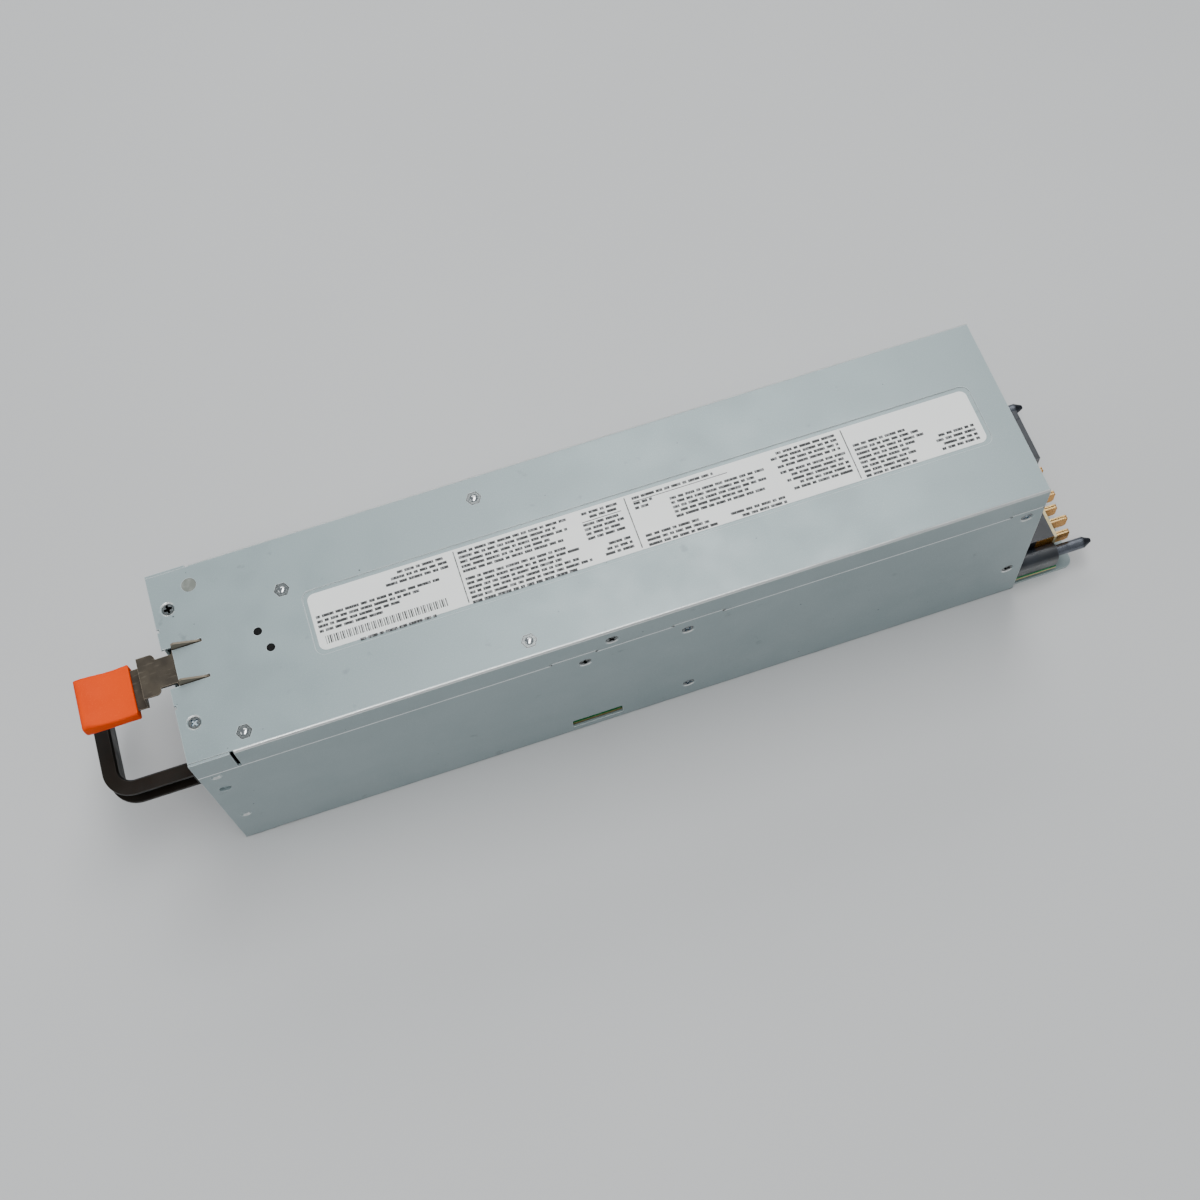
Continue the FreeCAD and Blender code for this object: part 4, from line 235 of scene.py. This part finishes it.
def dress(item, material, smooth_below=SMOOTH_BELOW):
    """Gives an object one material and smooth shading below an angle in degrees."""
    item.data.materials.clear()
    item.data.materials.append(material)
    item.data.polygons.foreach_set("use_smooth", [True] * len(item.data.polygons))
    item.data.set_sharp_from_angle(angle=math.radians(smooth_below))


SEAM_LEVEL = 0.07515
SEAM_RISE = 0.0012
SEAM_TABS = ((-0.0323, -0.0137), (0.0172, 0.038), (0.1573, 0.1715))
SEAM_EDGE = 0.0005
NOTCH_RADIUS = 0.0008


def coated_steel():
    surface = Surface("coated_steel", (149, 165, 167), 0.38, 0.2)
    surface.soften(0.0003)
    surface.mottle(9.0, (142, 158, 160), 0.35, 0.7)
    surface.mottle(2600.0, (159, 174, 175), 0.5, 0.75)
    surface.mottle(140.0, (133, 147, 149), 0.68, 0.76, 6.0)
    surface.specks(30.0, 0.0004, 0.3, (70, 76, 76))
    surface.specks(70.0, 0.00028, 0.12, (104, 114, 116))
    # Painted highlight: a near-white band on the bend between the top and side faces, where light glints
    # off it.
    sideways = surface.math("ABSOLUTE", surface.facing("Y"))
    bend = surface.math("MULTIPLY", surface.facing("Z"), sideways)
    bare_edge_and_bend_highlight = surface.span(bend, 0.2, 0.42)
    surface.tint(bare_edge_and_bend_highlight, (246, 247, 244))
    # Painted highlight: a lighter tint along sharp edges.
    surface.tint(surface.edges(0.0004), (214, 222, 222))
    painted_seam_highlight(surface)
    surface.uneven(60.0, 0.32, 0.44)
    surface.grain(3200.0, 0.00002, 0.35)
    # The painted bend highlight also raises the metallic value.
    surface.done(
        ["chassis_tray", "top_cover", "front_panel", "rear_bulkhead", "fan_bracket"],
        Metallic=surface.span(bare_edge_and_bend_highlight, 0.0, 1.0, 0.2, 0.85), Coat_Weight=0.15, Coat_Roughness=0.2,
    )


def painted_seam_highlight(surface):
    """Painted highlight: a near-white line along the stepped seam under the cover, with painted shade as
    a dark dot at each step's notch.
    """
    level = SEAM_LEVEL
    for start, end in SEAM_TABS:
        inside = surface.within(surface.axis("X"), start, end)
        level = surface.math("ADD", surface.math("MULTIPLY", inside, SEAM_RISE), level)
    below = surface.math("SUBTRACT", level, surface.axis("Z"))
    edge = surface.math("MULTIPLY", surface.within(below, -SEAM_EDGE / 4, SEAM_EDGE), surface.on_sides())
    # Painted highlight along the seam.
    surface.tint(edge, (246, 249, 248))
    # Painted shade: a dark dot at each notch.
    for start, end in SEAM_TABS:
        for x in (start, end):
            surface.side_dot(x, SEAM_LEVEL + SEAM_RISE / 3, NOTCH_RADIUS, (14, 15, 15))


def zinc_steel():
    surface = Surface("zinc_steel", (126, 131, 131), 0.34, 0.75)
    surface.mottle(1400.0, (112, 117, 118), 0.4, 0.7)
    # Painted shade: a dark outline along sharp edges.
    surface.tint(surface.edges(0.0006), (50, 50, 48))
    surface.uneven(2200.0, 0.2, 0.36)
    surface.grain(5000.0, 0.00001, 0.4)
    return surface.done([
        "cover_inserts", "handle_screws", "board_standoffs", "board_screws", "fan_screws",
        "inlet_pins",
    ])


def screw_recess():
    surface = Surface("screw_recess", (38, 66, 84), 0.3, 0.8)
    surface.mottle(2600.0, (78, 116, 138), 0.5, 0.62)
    surface.uneven(2600.0, 0.2, 0.38)
    return surface.done()


def recess_floor_highlight():
    # Painted highlight: a near-white base colour on the floor of the cross recess.
    surface = Surface("recess_floor_highlight", (206, 216, 222), 0.3, 0.15)
    surface.mottle(2200.0, (150, 178, 192), 0.5, 0.6)
    surface.uneven(2600.0, 0.14, 0.26)
    return surface.done()


def flush_rivet():
    surface = Surface("flush_rivet", (116, 121, 114), 0.55, 0.2)
    surface.mottle(420.0, (134, 139, 132), 0.42, 0.6, 5.0)
    # Painted shade: a darker outline along the rivet's edges.
    surface.tint(surface.edges(0.0003), (84, 88, 86))
    surface.uneven(600.0, 0.42, 0.6)
    surface.grain(2600.0, 0.00002, 0.4)
    surface.done(["cover_rivet"])


def rivet_hole_shade():
    # Painted shade: near-black rivet heads stand in for the dark inside open holes.
    surface = Surface("rivet_hole_shade", (9, 9, 9), 0.6)
    surface.mottle(1500.0, (24, 25, 25))
    surface.grain(3000.0, 0.00002)
    surface.done(["latch_rivets"], Specular_IOR_Level=0.12)


def label_film():
    surface = Surface("label_film", (246, 247, 244), 0.42)
    surface.mottle(14.0, (240, 242, 239), 0.35, 0.7)
    surface.uneven(90.0, 0.33, 0.45)
    surface.grain(1200.0, 0.00001, 0.25)
    surface.done(["rating_label"])


HOOK_FOOT = 0.0887
HOOK_CLEAR = 0.0893


def spring_steel():
    surface = Surface("spring_steel", (74, 67, 56), 0.46, 0.3)
    surface.mottle(110.0, (58, 52, 44), 0.42, 0.64, 6.0)
    surface.mottle(900.0, (86, 79, 68), 0.58, 0.72, 4.0, (0.2, 1, 1))
    # Painted highlight: the hooks are lighter above the cover's top, where light falls on them.
    surface.tint(surface.span(surface.axis("Z"), HOOK_FOOT, HOOK_CLEAR), (128, 119, 104))
    surface.uneven(300.0, 0.38, 0.56)
    surface.grain(1800.0, 0.00002, 0.5, (0.1, 1, 1))
    # Painted highlight: a lighter tint along sharp edges.
    surface.tint(surface.edges(0.00035), (136, 124, 108))
    surface.done(["latch_root", "latch_leaf"], Specular_IOR_Level=0.3)


GRIP_CELL = 0.0005
GRIP_PASSES = 9


def orange_plastic():
    surface = Surface("orange_plastic", (240, 74, 0), 0.6)
    surface.mottle(60.0, (232, 67, 0), 0.4, 0.65, 4.0)
    surface.mottle(1800.0, (244, 84, 4), 0.56, 0.72)
    surface.uneven(150.0, 0.54, 0.66)
    surface.grain(2600.0, 0.00003, 0.4)
    surface.done(["latch_grip"], Specular_IOR_Level=0.1)
    round_off(nodes["latch_grip"], GRIP_CELL, GRIP_PASSES)


def round_off(item, cell, passes):
    """Gives a moulded piece soft edges, which stay inside its own outline."""
    rebuilt = item.modifiers.new("rebuilt", "REMESH")
    rebuilt.mode = "VOXEL"
    rebuilt.voxel_size = cell
    rebuilt.use_smooth_shade = True
    softened = item.modifiers.new("softened", "SMOOTH")
    softened.factor = 0.5
    softened.iterations = passes


def black_plastic():
    surface = Surface("black_plastic", (9, 9, 8), 0.42)
    surface.soften(0.0004)
    surface.mottle(45.0, (14, 13, 11), 0.4, 0.68, 4.0)
    # Painted light: a brownish tint on upward faces, broken up by noise, where light falls on the tops.
    upward = surface.span(surface.facing("Z"), 0.6, 0.95)
    painted_top_light = surface.math("MULTIPLY", upward, surface.span(surface.noise(28.0), 0.3, 0.6))
    surface.tint(painted_top_light, (30, 25, 19))
    surface.uneven(120.0, 0.34, 0.5)
    surface.grain(2200.0, 0.00004, 0.4)
    # Painted highlight: a lighter tint along sharp edges.
    surface.tint(surface.edges(0.00035), (74, 70, 66))
    surface.done(["pull_handle", "ac_inlet", "fan_frame", "fan_rotor"], Specular_IOR_Level=0.2)


def blade_gold():
    surface = Surface("blade_gold", (222, 160, 70), 0.28, 0.85)
    surface.mottle(160.0, (206, 144, 60), 0.42, 0.68, 3.0)
    # Painted highlight: upward faces are paler.
    surface.tint(surface.span(surface.facing("Z"), 0.7, 0.95), (240, 200, 134))
    surface.uneven(900.0, 0.24, 0.36)
    surface.grain(2600.0, 0.000005, 0.3, (0.1, 1, 1))
    surface.done(["power_blades", "signal_contacts"])


def pale_contact_plate():
    surface = Surface("contact_plate", (206, 192, 150), 0.4, 0.35)
    surface.mottle(400.0, (188, 172, 128))
    surface.grain(2600.0, 0.00002)
    surface.done(["contact_plate"])


def copper():
    surface = Surface("copper", (186, 112, 72), 0.34, 1.0)
    surface.mottle(300.0, (150, 88, 54), 0.4, 0.65, 4.0)
    surface.uneven(600.0, 0.26, 0.46)
    surface.grain(900.0, 0.00008, 0.7, (0.05, 1, 1))
    surface.done(["bus_bars", "filter_choke", "boost_choke", "output_choke", "transformer_winding"])


BOARD_TOP = 0.006
MASK_LIP = 0.0006
MASK_BLUR = 0.0001


def circuit_board():
    surface = Surface("circuit_board", (30, 132, 74), 0.36)
    surface.mottle(700.0, (44, 150, 88), 0.52, 0.56, 1.0, (1, 0.3, 1))
    surface.mottle(2400.0, (26, 116, 64), 0.4, 0.7)
    upright = surface.math("ABSOLUTE", surface.facing("Z"))
    edge = surface.span(upright, 0.6, 0.4)
    mask_end = BOARD_TOP - MASK_LIP
    bare_edge_and_bend_highlight = surface.span(surface.axis("Z"), mask_end, mask_end - MASK_BLUR)
    surface.tint(surface.math("MULTIPLY", edge, bare_edge_and_bend_highlight), (206, 180, 112))
    surface.grain(1500.0, 0.00003)
    surface.done(["main_board"])


def card_laminate():
    surface = Surface("control_card", (34, 92, 56), 0.36)
    surface.mottle(700.0, (48, 118, 70), 0.52, 0.56, 1.0)
    surface.grain(1500.0, 0.00003)
    surface.done(["control_card"])


def insulating_film():
    surface = Surface("insulating_film", (196, 190, 172), 0.3)
    surface.mottle(80.0, (182, 176, 158))
    surface.grain(400.0, 0.00005)
    surface.done(["insulator_sheet"])


def connector_plastic():
    surface = Surface("connector_plastic", (30, 33, 38), 0.34)
    surface.soften(0.0003)
    surface.mottle(120.0, (44, 48, 55), 0.42, 0.66, 4.0)
    surface.uneven(200.0, 0.26, 0.42)
    surface.grain(2600.0, 0.00002, 0.4)
    # Painted highlight: a lighter tint along sharp edges.
    surface.tint(surface.edges(0.00035), (92, 97, 106))
    surface.done(["connector_housing"], Coat_Weight=0.6, Coat_Roughness=0.22)


PIN_TIP = 0.2035
TIP_BLUR = 0.001


def pin_metal():
    surface = Surface("pin_metal", (112, 116, 124), 0.28, 0.8)
    surface.mottle(300.0, (98, 102, 110), 0.42, 0.66, 3.0)
    surface.tint(surface.span(surface.axis("X"), PIN_TIP, PIN_TIP + TIP_BLUR), (52, 54, 60))
    surface.uneven(900.0, 0.24, 0.34, (0.1, 1, 1))
    surface.grain(2400.0, 0.00001, 0.4, (0.1, 1, 1))
    surface.done(["guide_pins"])


def extruded_aluminium():
    surface = Surface("extruded_aluminium", (188, 190, 192), 0.38, 1.0)
    surface.mottle(90.0, (164, 166, 170), 0.4, 0.66, 4.0, (0.05, 1, 1))
    surface.uneven(400.0, 0.3, 0.48, (0.05, 1, 1))
    surface.grain(1600.0, 0.00003, 0.5, (0.03, 1, 1))
    surface.done(["primary_heat_sink", "secondary_heat_sink"])


def dark_devices():
    surface = Surface("dark_devices", (30, 30, 32), 0.42)
    surface.mottle(800.0, (44, 44, 46))
    surface.grain(2600.0, 0.00003)
    surface.done([
        "primary_transistors", "output_rectifiers", "bridge_rectifier", "inrush_relay",
        "transformer_core", "standby_transformer",
    ])


def capacitor_sleeves():
    surface = Surface("capacitor_sleeves", (30, 36, 60), 0.3)
    surface.mottle(200.0, (40, 47, 74))
    surface.uneven(300.0, 0.24, 0.4)
    surface.grain(700.0, 0.00003)
    surface.done(["bulk_capacitors", "output_capacitors"])


def film_capacitors():
    surface = Surface("film_capacitors", (206, 176, 70), 0.36)
    surface.mottle(300.0, (190, 160, 58))
    surface.grain(1500.0, 0.00003)
    surface.done(["line_capacitors"])


def fuse_ceramic():
    surface = Surface("fuse_ceramic", (214, 208, 192), 0.4)
    surface.mottle(400.0, (200, 192, 172))
    surface.grain(2000.0, 0.00002)
    surface.done(["line_fuse"])


def lamp_plastic():
    surface = Surface("lamp_plastic", (196, 214, 200), 0.22)
    surface.mottle(500.0, (182, 204, 190))
    surface.grain(1200.0, 0.00002)
    surface.done(["status_lamps"], Transmission_Weight=0.3)


def ink():
    surface = Surface("ink", (34, 36, 38), 0.5)
    surface.mottle(1500.0, (128, 130, 130), 0.52, 0.6, 2.0, (1, 0.3, 1))
    surface.grain(3000.0, 0.00001)
    return surface.done()


# Fasteners

HEAD_SIDES = 32
HEAD_SINK = 0.0003
HEAD_RIM = 0.00012
NECK_SHARE = 0.51
NECK_DEPTH = 0.0009
HEAD_SLOPE = 0.00145 / NECK_DEPTH
CROSS_HALF = 0.00046
CROSS_REACH = 0.0017
CROSS_DEPTH = 0.00045
CROSS_TAPER = 0.78
QUARTER_TURNS = ((1, 0), (0, 1), (-1, 0), (0, -1))
SCREW_TURN = 1.1
WALL_CORNERS = 4
DOME_SHARE = 0.31
DOME_RISE = 0.4
DOME_RINGS = 6
DOME_SMOOTH = 60
OVERLAP = 0.00001
SAME_POINT = 1e-6
SORT_PLACES = 5


def solids_of(name):
    """Lowest and highest corner of each separate solid of a CAD node, from left to right."""
    mesh = bmesh.new()
    mesh.from_mesh(nodes[name].data)
    bmesh.ops.remove_doubles(mesh, verts=mesh.verts, dist=SAME_POINT)
    waiting = set(mesh.verts)
    boxes = []
    while waiting:
        edge = [waiting.pop()]
        found = list(edge)
        while edge:
            near = [other.other_vert(vert) for vert in edge for other in vert.link_edges]
            edge = [vert for vert in dict.fromkeys(near) if vert in waiting]
            waiting.difference_update(edge)
            found += edge
        low = Vector(min(vert.co[axis] for vert in found) for axis in range(3))
        high = Vector(max(vert.co[axis] for vert in found) for axis in range(3))
        boxes.append((low, high))
    mesh.free()
    return sorted(boxes, key=lambda box: tuple(round(value, SORT_PLACES) for value in box[0]))


def head_frame(low, high, outward):
    """Matrix with its origin in the middle of the head's face and Z along the outward direction."""
    centre = (low + high) / 2
    for axis in range(3):
        if outward[axis] > 0:
            centre[axis] = high[axis]
        if outward[axis] < 0:
            centre[axis] = low[axis]
    return Matrix.Translation(centre) @ outward.to_track_quat("Z", "Y").to_matrix().to_4x4()


def add_loop(mesh, place, points):
    """The corners and edges of a closed outline."""
    verts = [mesh.verts.new(place @ Vector(point)) for point in points]
    edges = [mesh.edges.new((verts[index - 1], verts[index])) for index in range(len(verts))]
    return verts, edges


def join_loops(mesh, first, second):
    """A closed strip of quads between two loops with the same number of corners."""
    for index in range(len(first[0])):
        mesh.faces.new((first[0][index - 1], first[0][index], second[0][index], second[0][index - 1]))


def circle_points(radius, level):
    turns = [math.tau * index / HEAD_SIDES for index in range(HEAD_SIDES)]
    return [(radius * math.cos(turn), radius * math.sin(turn), level) for turn in turns]


def add_turned(mesh, place, rings):
    """A turned form through rings of radius and level, closed at its last ring. Gives its first ring."""
    loops = [add_loop(mesh, place, circle_points(radius, level)) for radius, level in rings]
    for first, second in zip(loops, loops[1:]):
        join_loops(mesh, first, second)
    mesh.faces.new(loops[-1][0])
    return loops[0]


def cross_points(scale, level):
    """Outline of a cross recess, anticlockwise."""
    half = CROSS_HALF * scale
    reach = CROSS_REACH * scale
    quarter = [(reach, -half), (reach, half), (half, half)]
    points = []
    for cosine, sine in QUARTER_TURNS:
        points += [(x * cosine - y * sine, x * sine + y * cosine, level) for x, y in quarter]
    return points


def make_case_screws(metal, wall_metal, floor_highlight_metal):
    """Countersunk screws with cross recesses in place of the plain ones."""
    spots = []
    for low, high in solids_of("side_screws"):
        spots.append((low, high, Vector((0, 1 if low.y > 0 else -1, 0))))
    for low, high in solids_of("cover_screws"):
        spots.append((low, high, Vector((0, 0, 1))))
    heads = bmesh.new()
    recesses = bmesh.new()
    for number, (low, high, outward) in enumerate(spots):
        place = head_frame(low, high, outward) @ Matrix.Rotation(number * SCREW_TURN, 4, "Z")
        full = (high.z - low.z if outward.y else high.x - low.x) / 2
        radius = full - HEAD_SINK * HEAD_SLOPE
        length = abs((high - low).dot(outward))
        neck = full * NECK_SHARE
        rings = [
            (radius - HEAD_RIM, -HEAD_SINK),
            (radius, -HEAD_SINK - HEAD_RIM),
            (neck, -NECK_DEPTH),
            (neck, -length),
        ]
        face = add_turned(heads, place, rings)
        mouth = add_loop(heads, place, cross_points(1.0, -HEAD_SINK))
        bmesh.ops.bridge_loops(heads, edges=face[1] + mouth[1])
        upper = add_loop(recesses, place, cross_points(1.0, -HEAD_SINK))
        lower = add_loop(recesses, place, cross_points(CROSS_TAPER, -HEAD_SINK - CROSS_DEPTH))
        join_loops(recesses, upper, lower)
        recesses.faces.new(lower[0])
    piece = make_piece("case_screw_heads", heads, "case", metal)
    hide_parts("side_screws", "cover_screws")
    recess = make_piece(
        "case_screw_recesses", recesses, "case", wall_metal, closed=False
    )
    recess.data.materials.append(floor_highlight_metal)
    for polygon in recess.data.polygons:
        polygon.material_index = 1 if polygon.loop_total > WALL_CORNERS else 0


def make_insert_domes(metal):
    """Shiny rounded ends of the clinch inserts."""
    mesh = bmesh.new()
    for low, high in solids_of("cover_inserts"):
        radius = (high.y - low.y) * DOME_SHARE
        place = head_frame(low, high, Vector((0, 0, 1)))
        turns = [math.pi / 2 * step / DOME_RINGS for step in range(DOME_RINGS)]
        rings = [
            (radius * math.cos(turn), radius * DOME_RISE * math.sin(turn) - OVERLAP) for turn in turns
        ]
        add_turned(mesh, place, rings)
    make_piece("insert_domes", mesh, "case", metal, DOME_SMOOTH)


def dome_metal():
    surface = Surface("dome_metal", (206, 209, 209), 0.14, 1.0)
    surface.mottle(1800.0, (188, 192, 193), 0.45, 0.7)
    surface.uneven(2000.0, 0.1, 0.2)
    return surface.done()


# Label print

LABEL_DIVIDERS = (-0.05465, 0.0152, 0.1053)
DIVIDER_WIDTH = 0.0004
FIRST_ROW = 0.0021
ROW_PITCH = 0.00206
WORD_HEIGHT = 0.00115
WORD_LENGTHS = (0.0022, 0.0038, 0.0016, 0.0046, 0.003, 0.0054, 0.0026)
WORD_GAP = 0.0008
RAGGED_SHARES = (0.0, 0.14, 0.05, 0.22, 0.1)
RULE_HEIGHT = 0.0003
BAR_BLOCK = (-0.1105, -0.0625)
BAR_ROW = 9.0
BAR_HEIGHT = 0.0034
BAR_PITCH = 0.00082
BAR_SHARES = (0.28, 0.48, 0.68)
# Left and right end, first row, number of rows, and the end at which the rows are uneven
TEXT_BLOCKS = (
    (-0.083, -0.058, 0.0, 3, "left"),
    (-0.112, -0.060, 4.0, 2, "right"),
    (-0.112, -0.078, 6.0, 2, "right"),
    (-0.098, -0.063, 11.0, 1, "right"),
    (-0.0532, -0.0075, 0.0, 5, "right"),
    (-0.0532, -0.0045, 5.7, 6, "right"),
    (-0.0035, 0.0125, 0.0, 2, "left"),
    (-0.0035, 0.0125, 2.4, 4, "right"),
    (0.001, 0.0125, 7.6, 3, "left"),
    (0.018, 0.057, 0.0, 1, "right"),
    (0.018, 0.026, 1.2, 2, "right"),
    (0.032, 0.0725, 2.4, 5, "right"),
    (0.018, 0.046, 8.4, 3, "right"),
    (0.051, 0.0745, 9.4, 2, "left"),
    (0.075, 0.1025, 0.0, 4, "left"),
    (0.0765, 0.1035, 4.3, 5, "left"),
    (0.1075, 0.137, 3.4, 3, "right"),
    (0.1075, 0.131, 6.4, 5, "right"),
    (0.139, 0.1555, 6.8, 4, "left"),
)
RULES = ((-0.0035, 0.0125, 1.75), (0.018, 0.057, 0.75))
PRINT_RELIEF = 0.00003


BOX_FACES = ((0, 2, 3, 1), (4, 5, 7, 6), (0, 1, 5, 4), (2, 6, 7, 3), (0, 4, 6, 2), (1, 3, 7, 5))


def add_box(mesh, low, high):
    corners = [
        mesh.verts.new((x, y, z))
        for z in (low[2], high[2])
        for y in (low[1], high[1])
        for x in (low[0], high[0])
    ]
    for face in BOX_FACES:
        mesh.faces.new([corners[index] for index in face])


def make_piece(name, mesh, body, material, smooth_below=SMOOTH_BELOW, closed=True):
    """An object that rides on a body. An open mesh keeps the way that its faces look."""
    data = bpy.data.meshes.new(name)
    if closed:
        bmesh.ops.recalc_face_normals(mesh, faces=mesh.faces)
    mesh.to_mesh(data)
    mesh.free()
    piece = bpy.data.objects.new(name, data)
    bpy.context.scene.collection.objects.link(piece)
    dress(piece, material, smooth_below)
    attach(piece, body)
    return piece


def make_label_print(material):
    """Plain word-like bars, rules and dividers where the label has its printing."""
    low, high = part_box("rating_label")
    level = high.z - OVERLAP
    top = high.z + PRINT_RELIEF
    mesh = bmesh.new()

    def mark(first, last, row, height):
        """A bar from one X to another, on a row counted from the far edge."""
        y = high.y - FIRST_ROW - row * ROW_PITCH
        add_box(mesh, (first, y - height / 2, level), (last, y + height / 2, top))

    for x in LABEL_DIVIDERS:
        ends = (low.y + DIVIDER_WIDTH * 2, high.y - DIVIDER_WIDTH * 2)
        add_box(mesh, (x - DIVIDER_WIDTH / 2, ends[0], level), (x + DIVIDER_WIDTH / 2, ends[1], top))
    for first, last, row in RULES:
        mark(first, last, row, RULE_HEIGHT)
    word = 0
    for first, last, first_row, rows, ragged in TEXT_BLOCKS:
        for row in range(rows):
            cut = (last - first) * RAGGED_SHARES[(row + rows) % len(RAGGED_SHARES)]
            x = first + (cut if ragged == "left" else 0)
            stop = last - (cut if ragged == "right" else 0)
            while x < stop - WORD_GAP:
                length = WORD_LENGTHS[word % len(WORD_LENGTHS)]
                mark(x, min(x + length, stop), first_row + row, WORD_HEIGHT)
                x += length + WORD_GAP
                word += 1 + row % 2
    x = BAR_BLOCK[0]
    bar = 0
    while x < BAR_BLOCK[1]:
        mark(x, x + BAR_PITCH * BAR_SHARES[bar % len(BAR_SHARES)], BAR_ROW, BAR_HEIGHT)
        x += BAR_PITCH
        bar += 1
    make_piece("label_print", mesh, "case", material)


# Stage

FLOOR_REACH = 4
SKY_COLOR = (0.86, 0.93, 1.0, 1)
SKY_STRENGTH = 0.3
# Name, place, width, height and power
LIGHTS = (
    ("key", (0.05, -0.02, 1.6), 2.0, 0.6, 27),
    ("back", (0.3, 1.5, 1.3), 1.6, 0.6, 9),
    ("left", (-1.3, 0.1, 0.8), 0.9, 0.5, 2.5),
)


def make_floor():
    floor_mesh = bmesh.new()
    bmesh.ops.create_grid(floor_mesh, x_segments=1, y_segments=1, size=FLOOR_REACH)
    data = bpy.data.meshes.new("floor")
    floor_mesh.to_mesh(data)
    floor_mesh.free()
    floor = bpy.data.objects.new("floor", data)
    bpy.context.scene.collection.objects.link(floor)
    surface = Surface("floor", (206, 207, 207), 0.7)
    surface.mottle(3.0, (200, 201, 201), 0.3, 0.7)
    data.materials.append(surface.done())


def make_sky():
    world = bpy.data.worlds.new("studio")
    world.use_nodes = True
    background = world.node_tree.nodes["Background"]
    background.inputs["Color"].default_value = SKY_COLOR
    background.inputs["Strength"].default_value = SKY_STRENGTH
    bpy.context.scene.world = world


def add_light(name, place, width, height, power):
    """A soft light that faces the part's origin."""
    light = bpy.data.lights.new(name, "AREA")
    light.shape = "RECTANGLE"
    light.size = width
    light.size_y = height
    light.energy = power
    lamp = bpy.data.objects.new(name, light)
    bpy.context.scene.collection.objects.link(lamp)
    lamp.location = place
    lamp.rotation_euler = (-Vector(place)).to_track_quat("-Z", "Y").to_euler()


# Build

make_camera()
coated_steel()
metal = zinc_steel()
flush_rivet()
rivet_hole_shade()
label_film()
spring_steel()
orange_plastic()
black_plastic()
blade_gold()
pale_contact_plate()
copper()
circuit_board()
card_laminate()
insulating_film()
connector_plastic()
pin_metal()
extruded_aluminium()
dark_devices()
capacitor_sleeves()
film_capacitors()
fuse_ceramic()
lamp_plastic()
make_case_screws(metal, screw_recess(), recess_floor_highlight())
make_insert_domes(dome_metal())
make_label_print(ink())
make_floor()
make_sky()
for light in LIGHTS:
    add_light(*light)
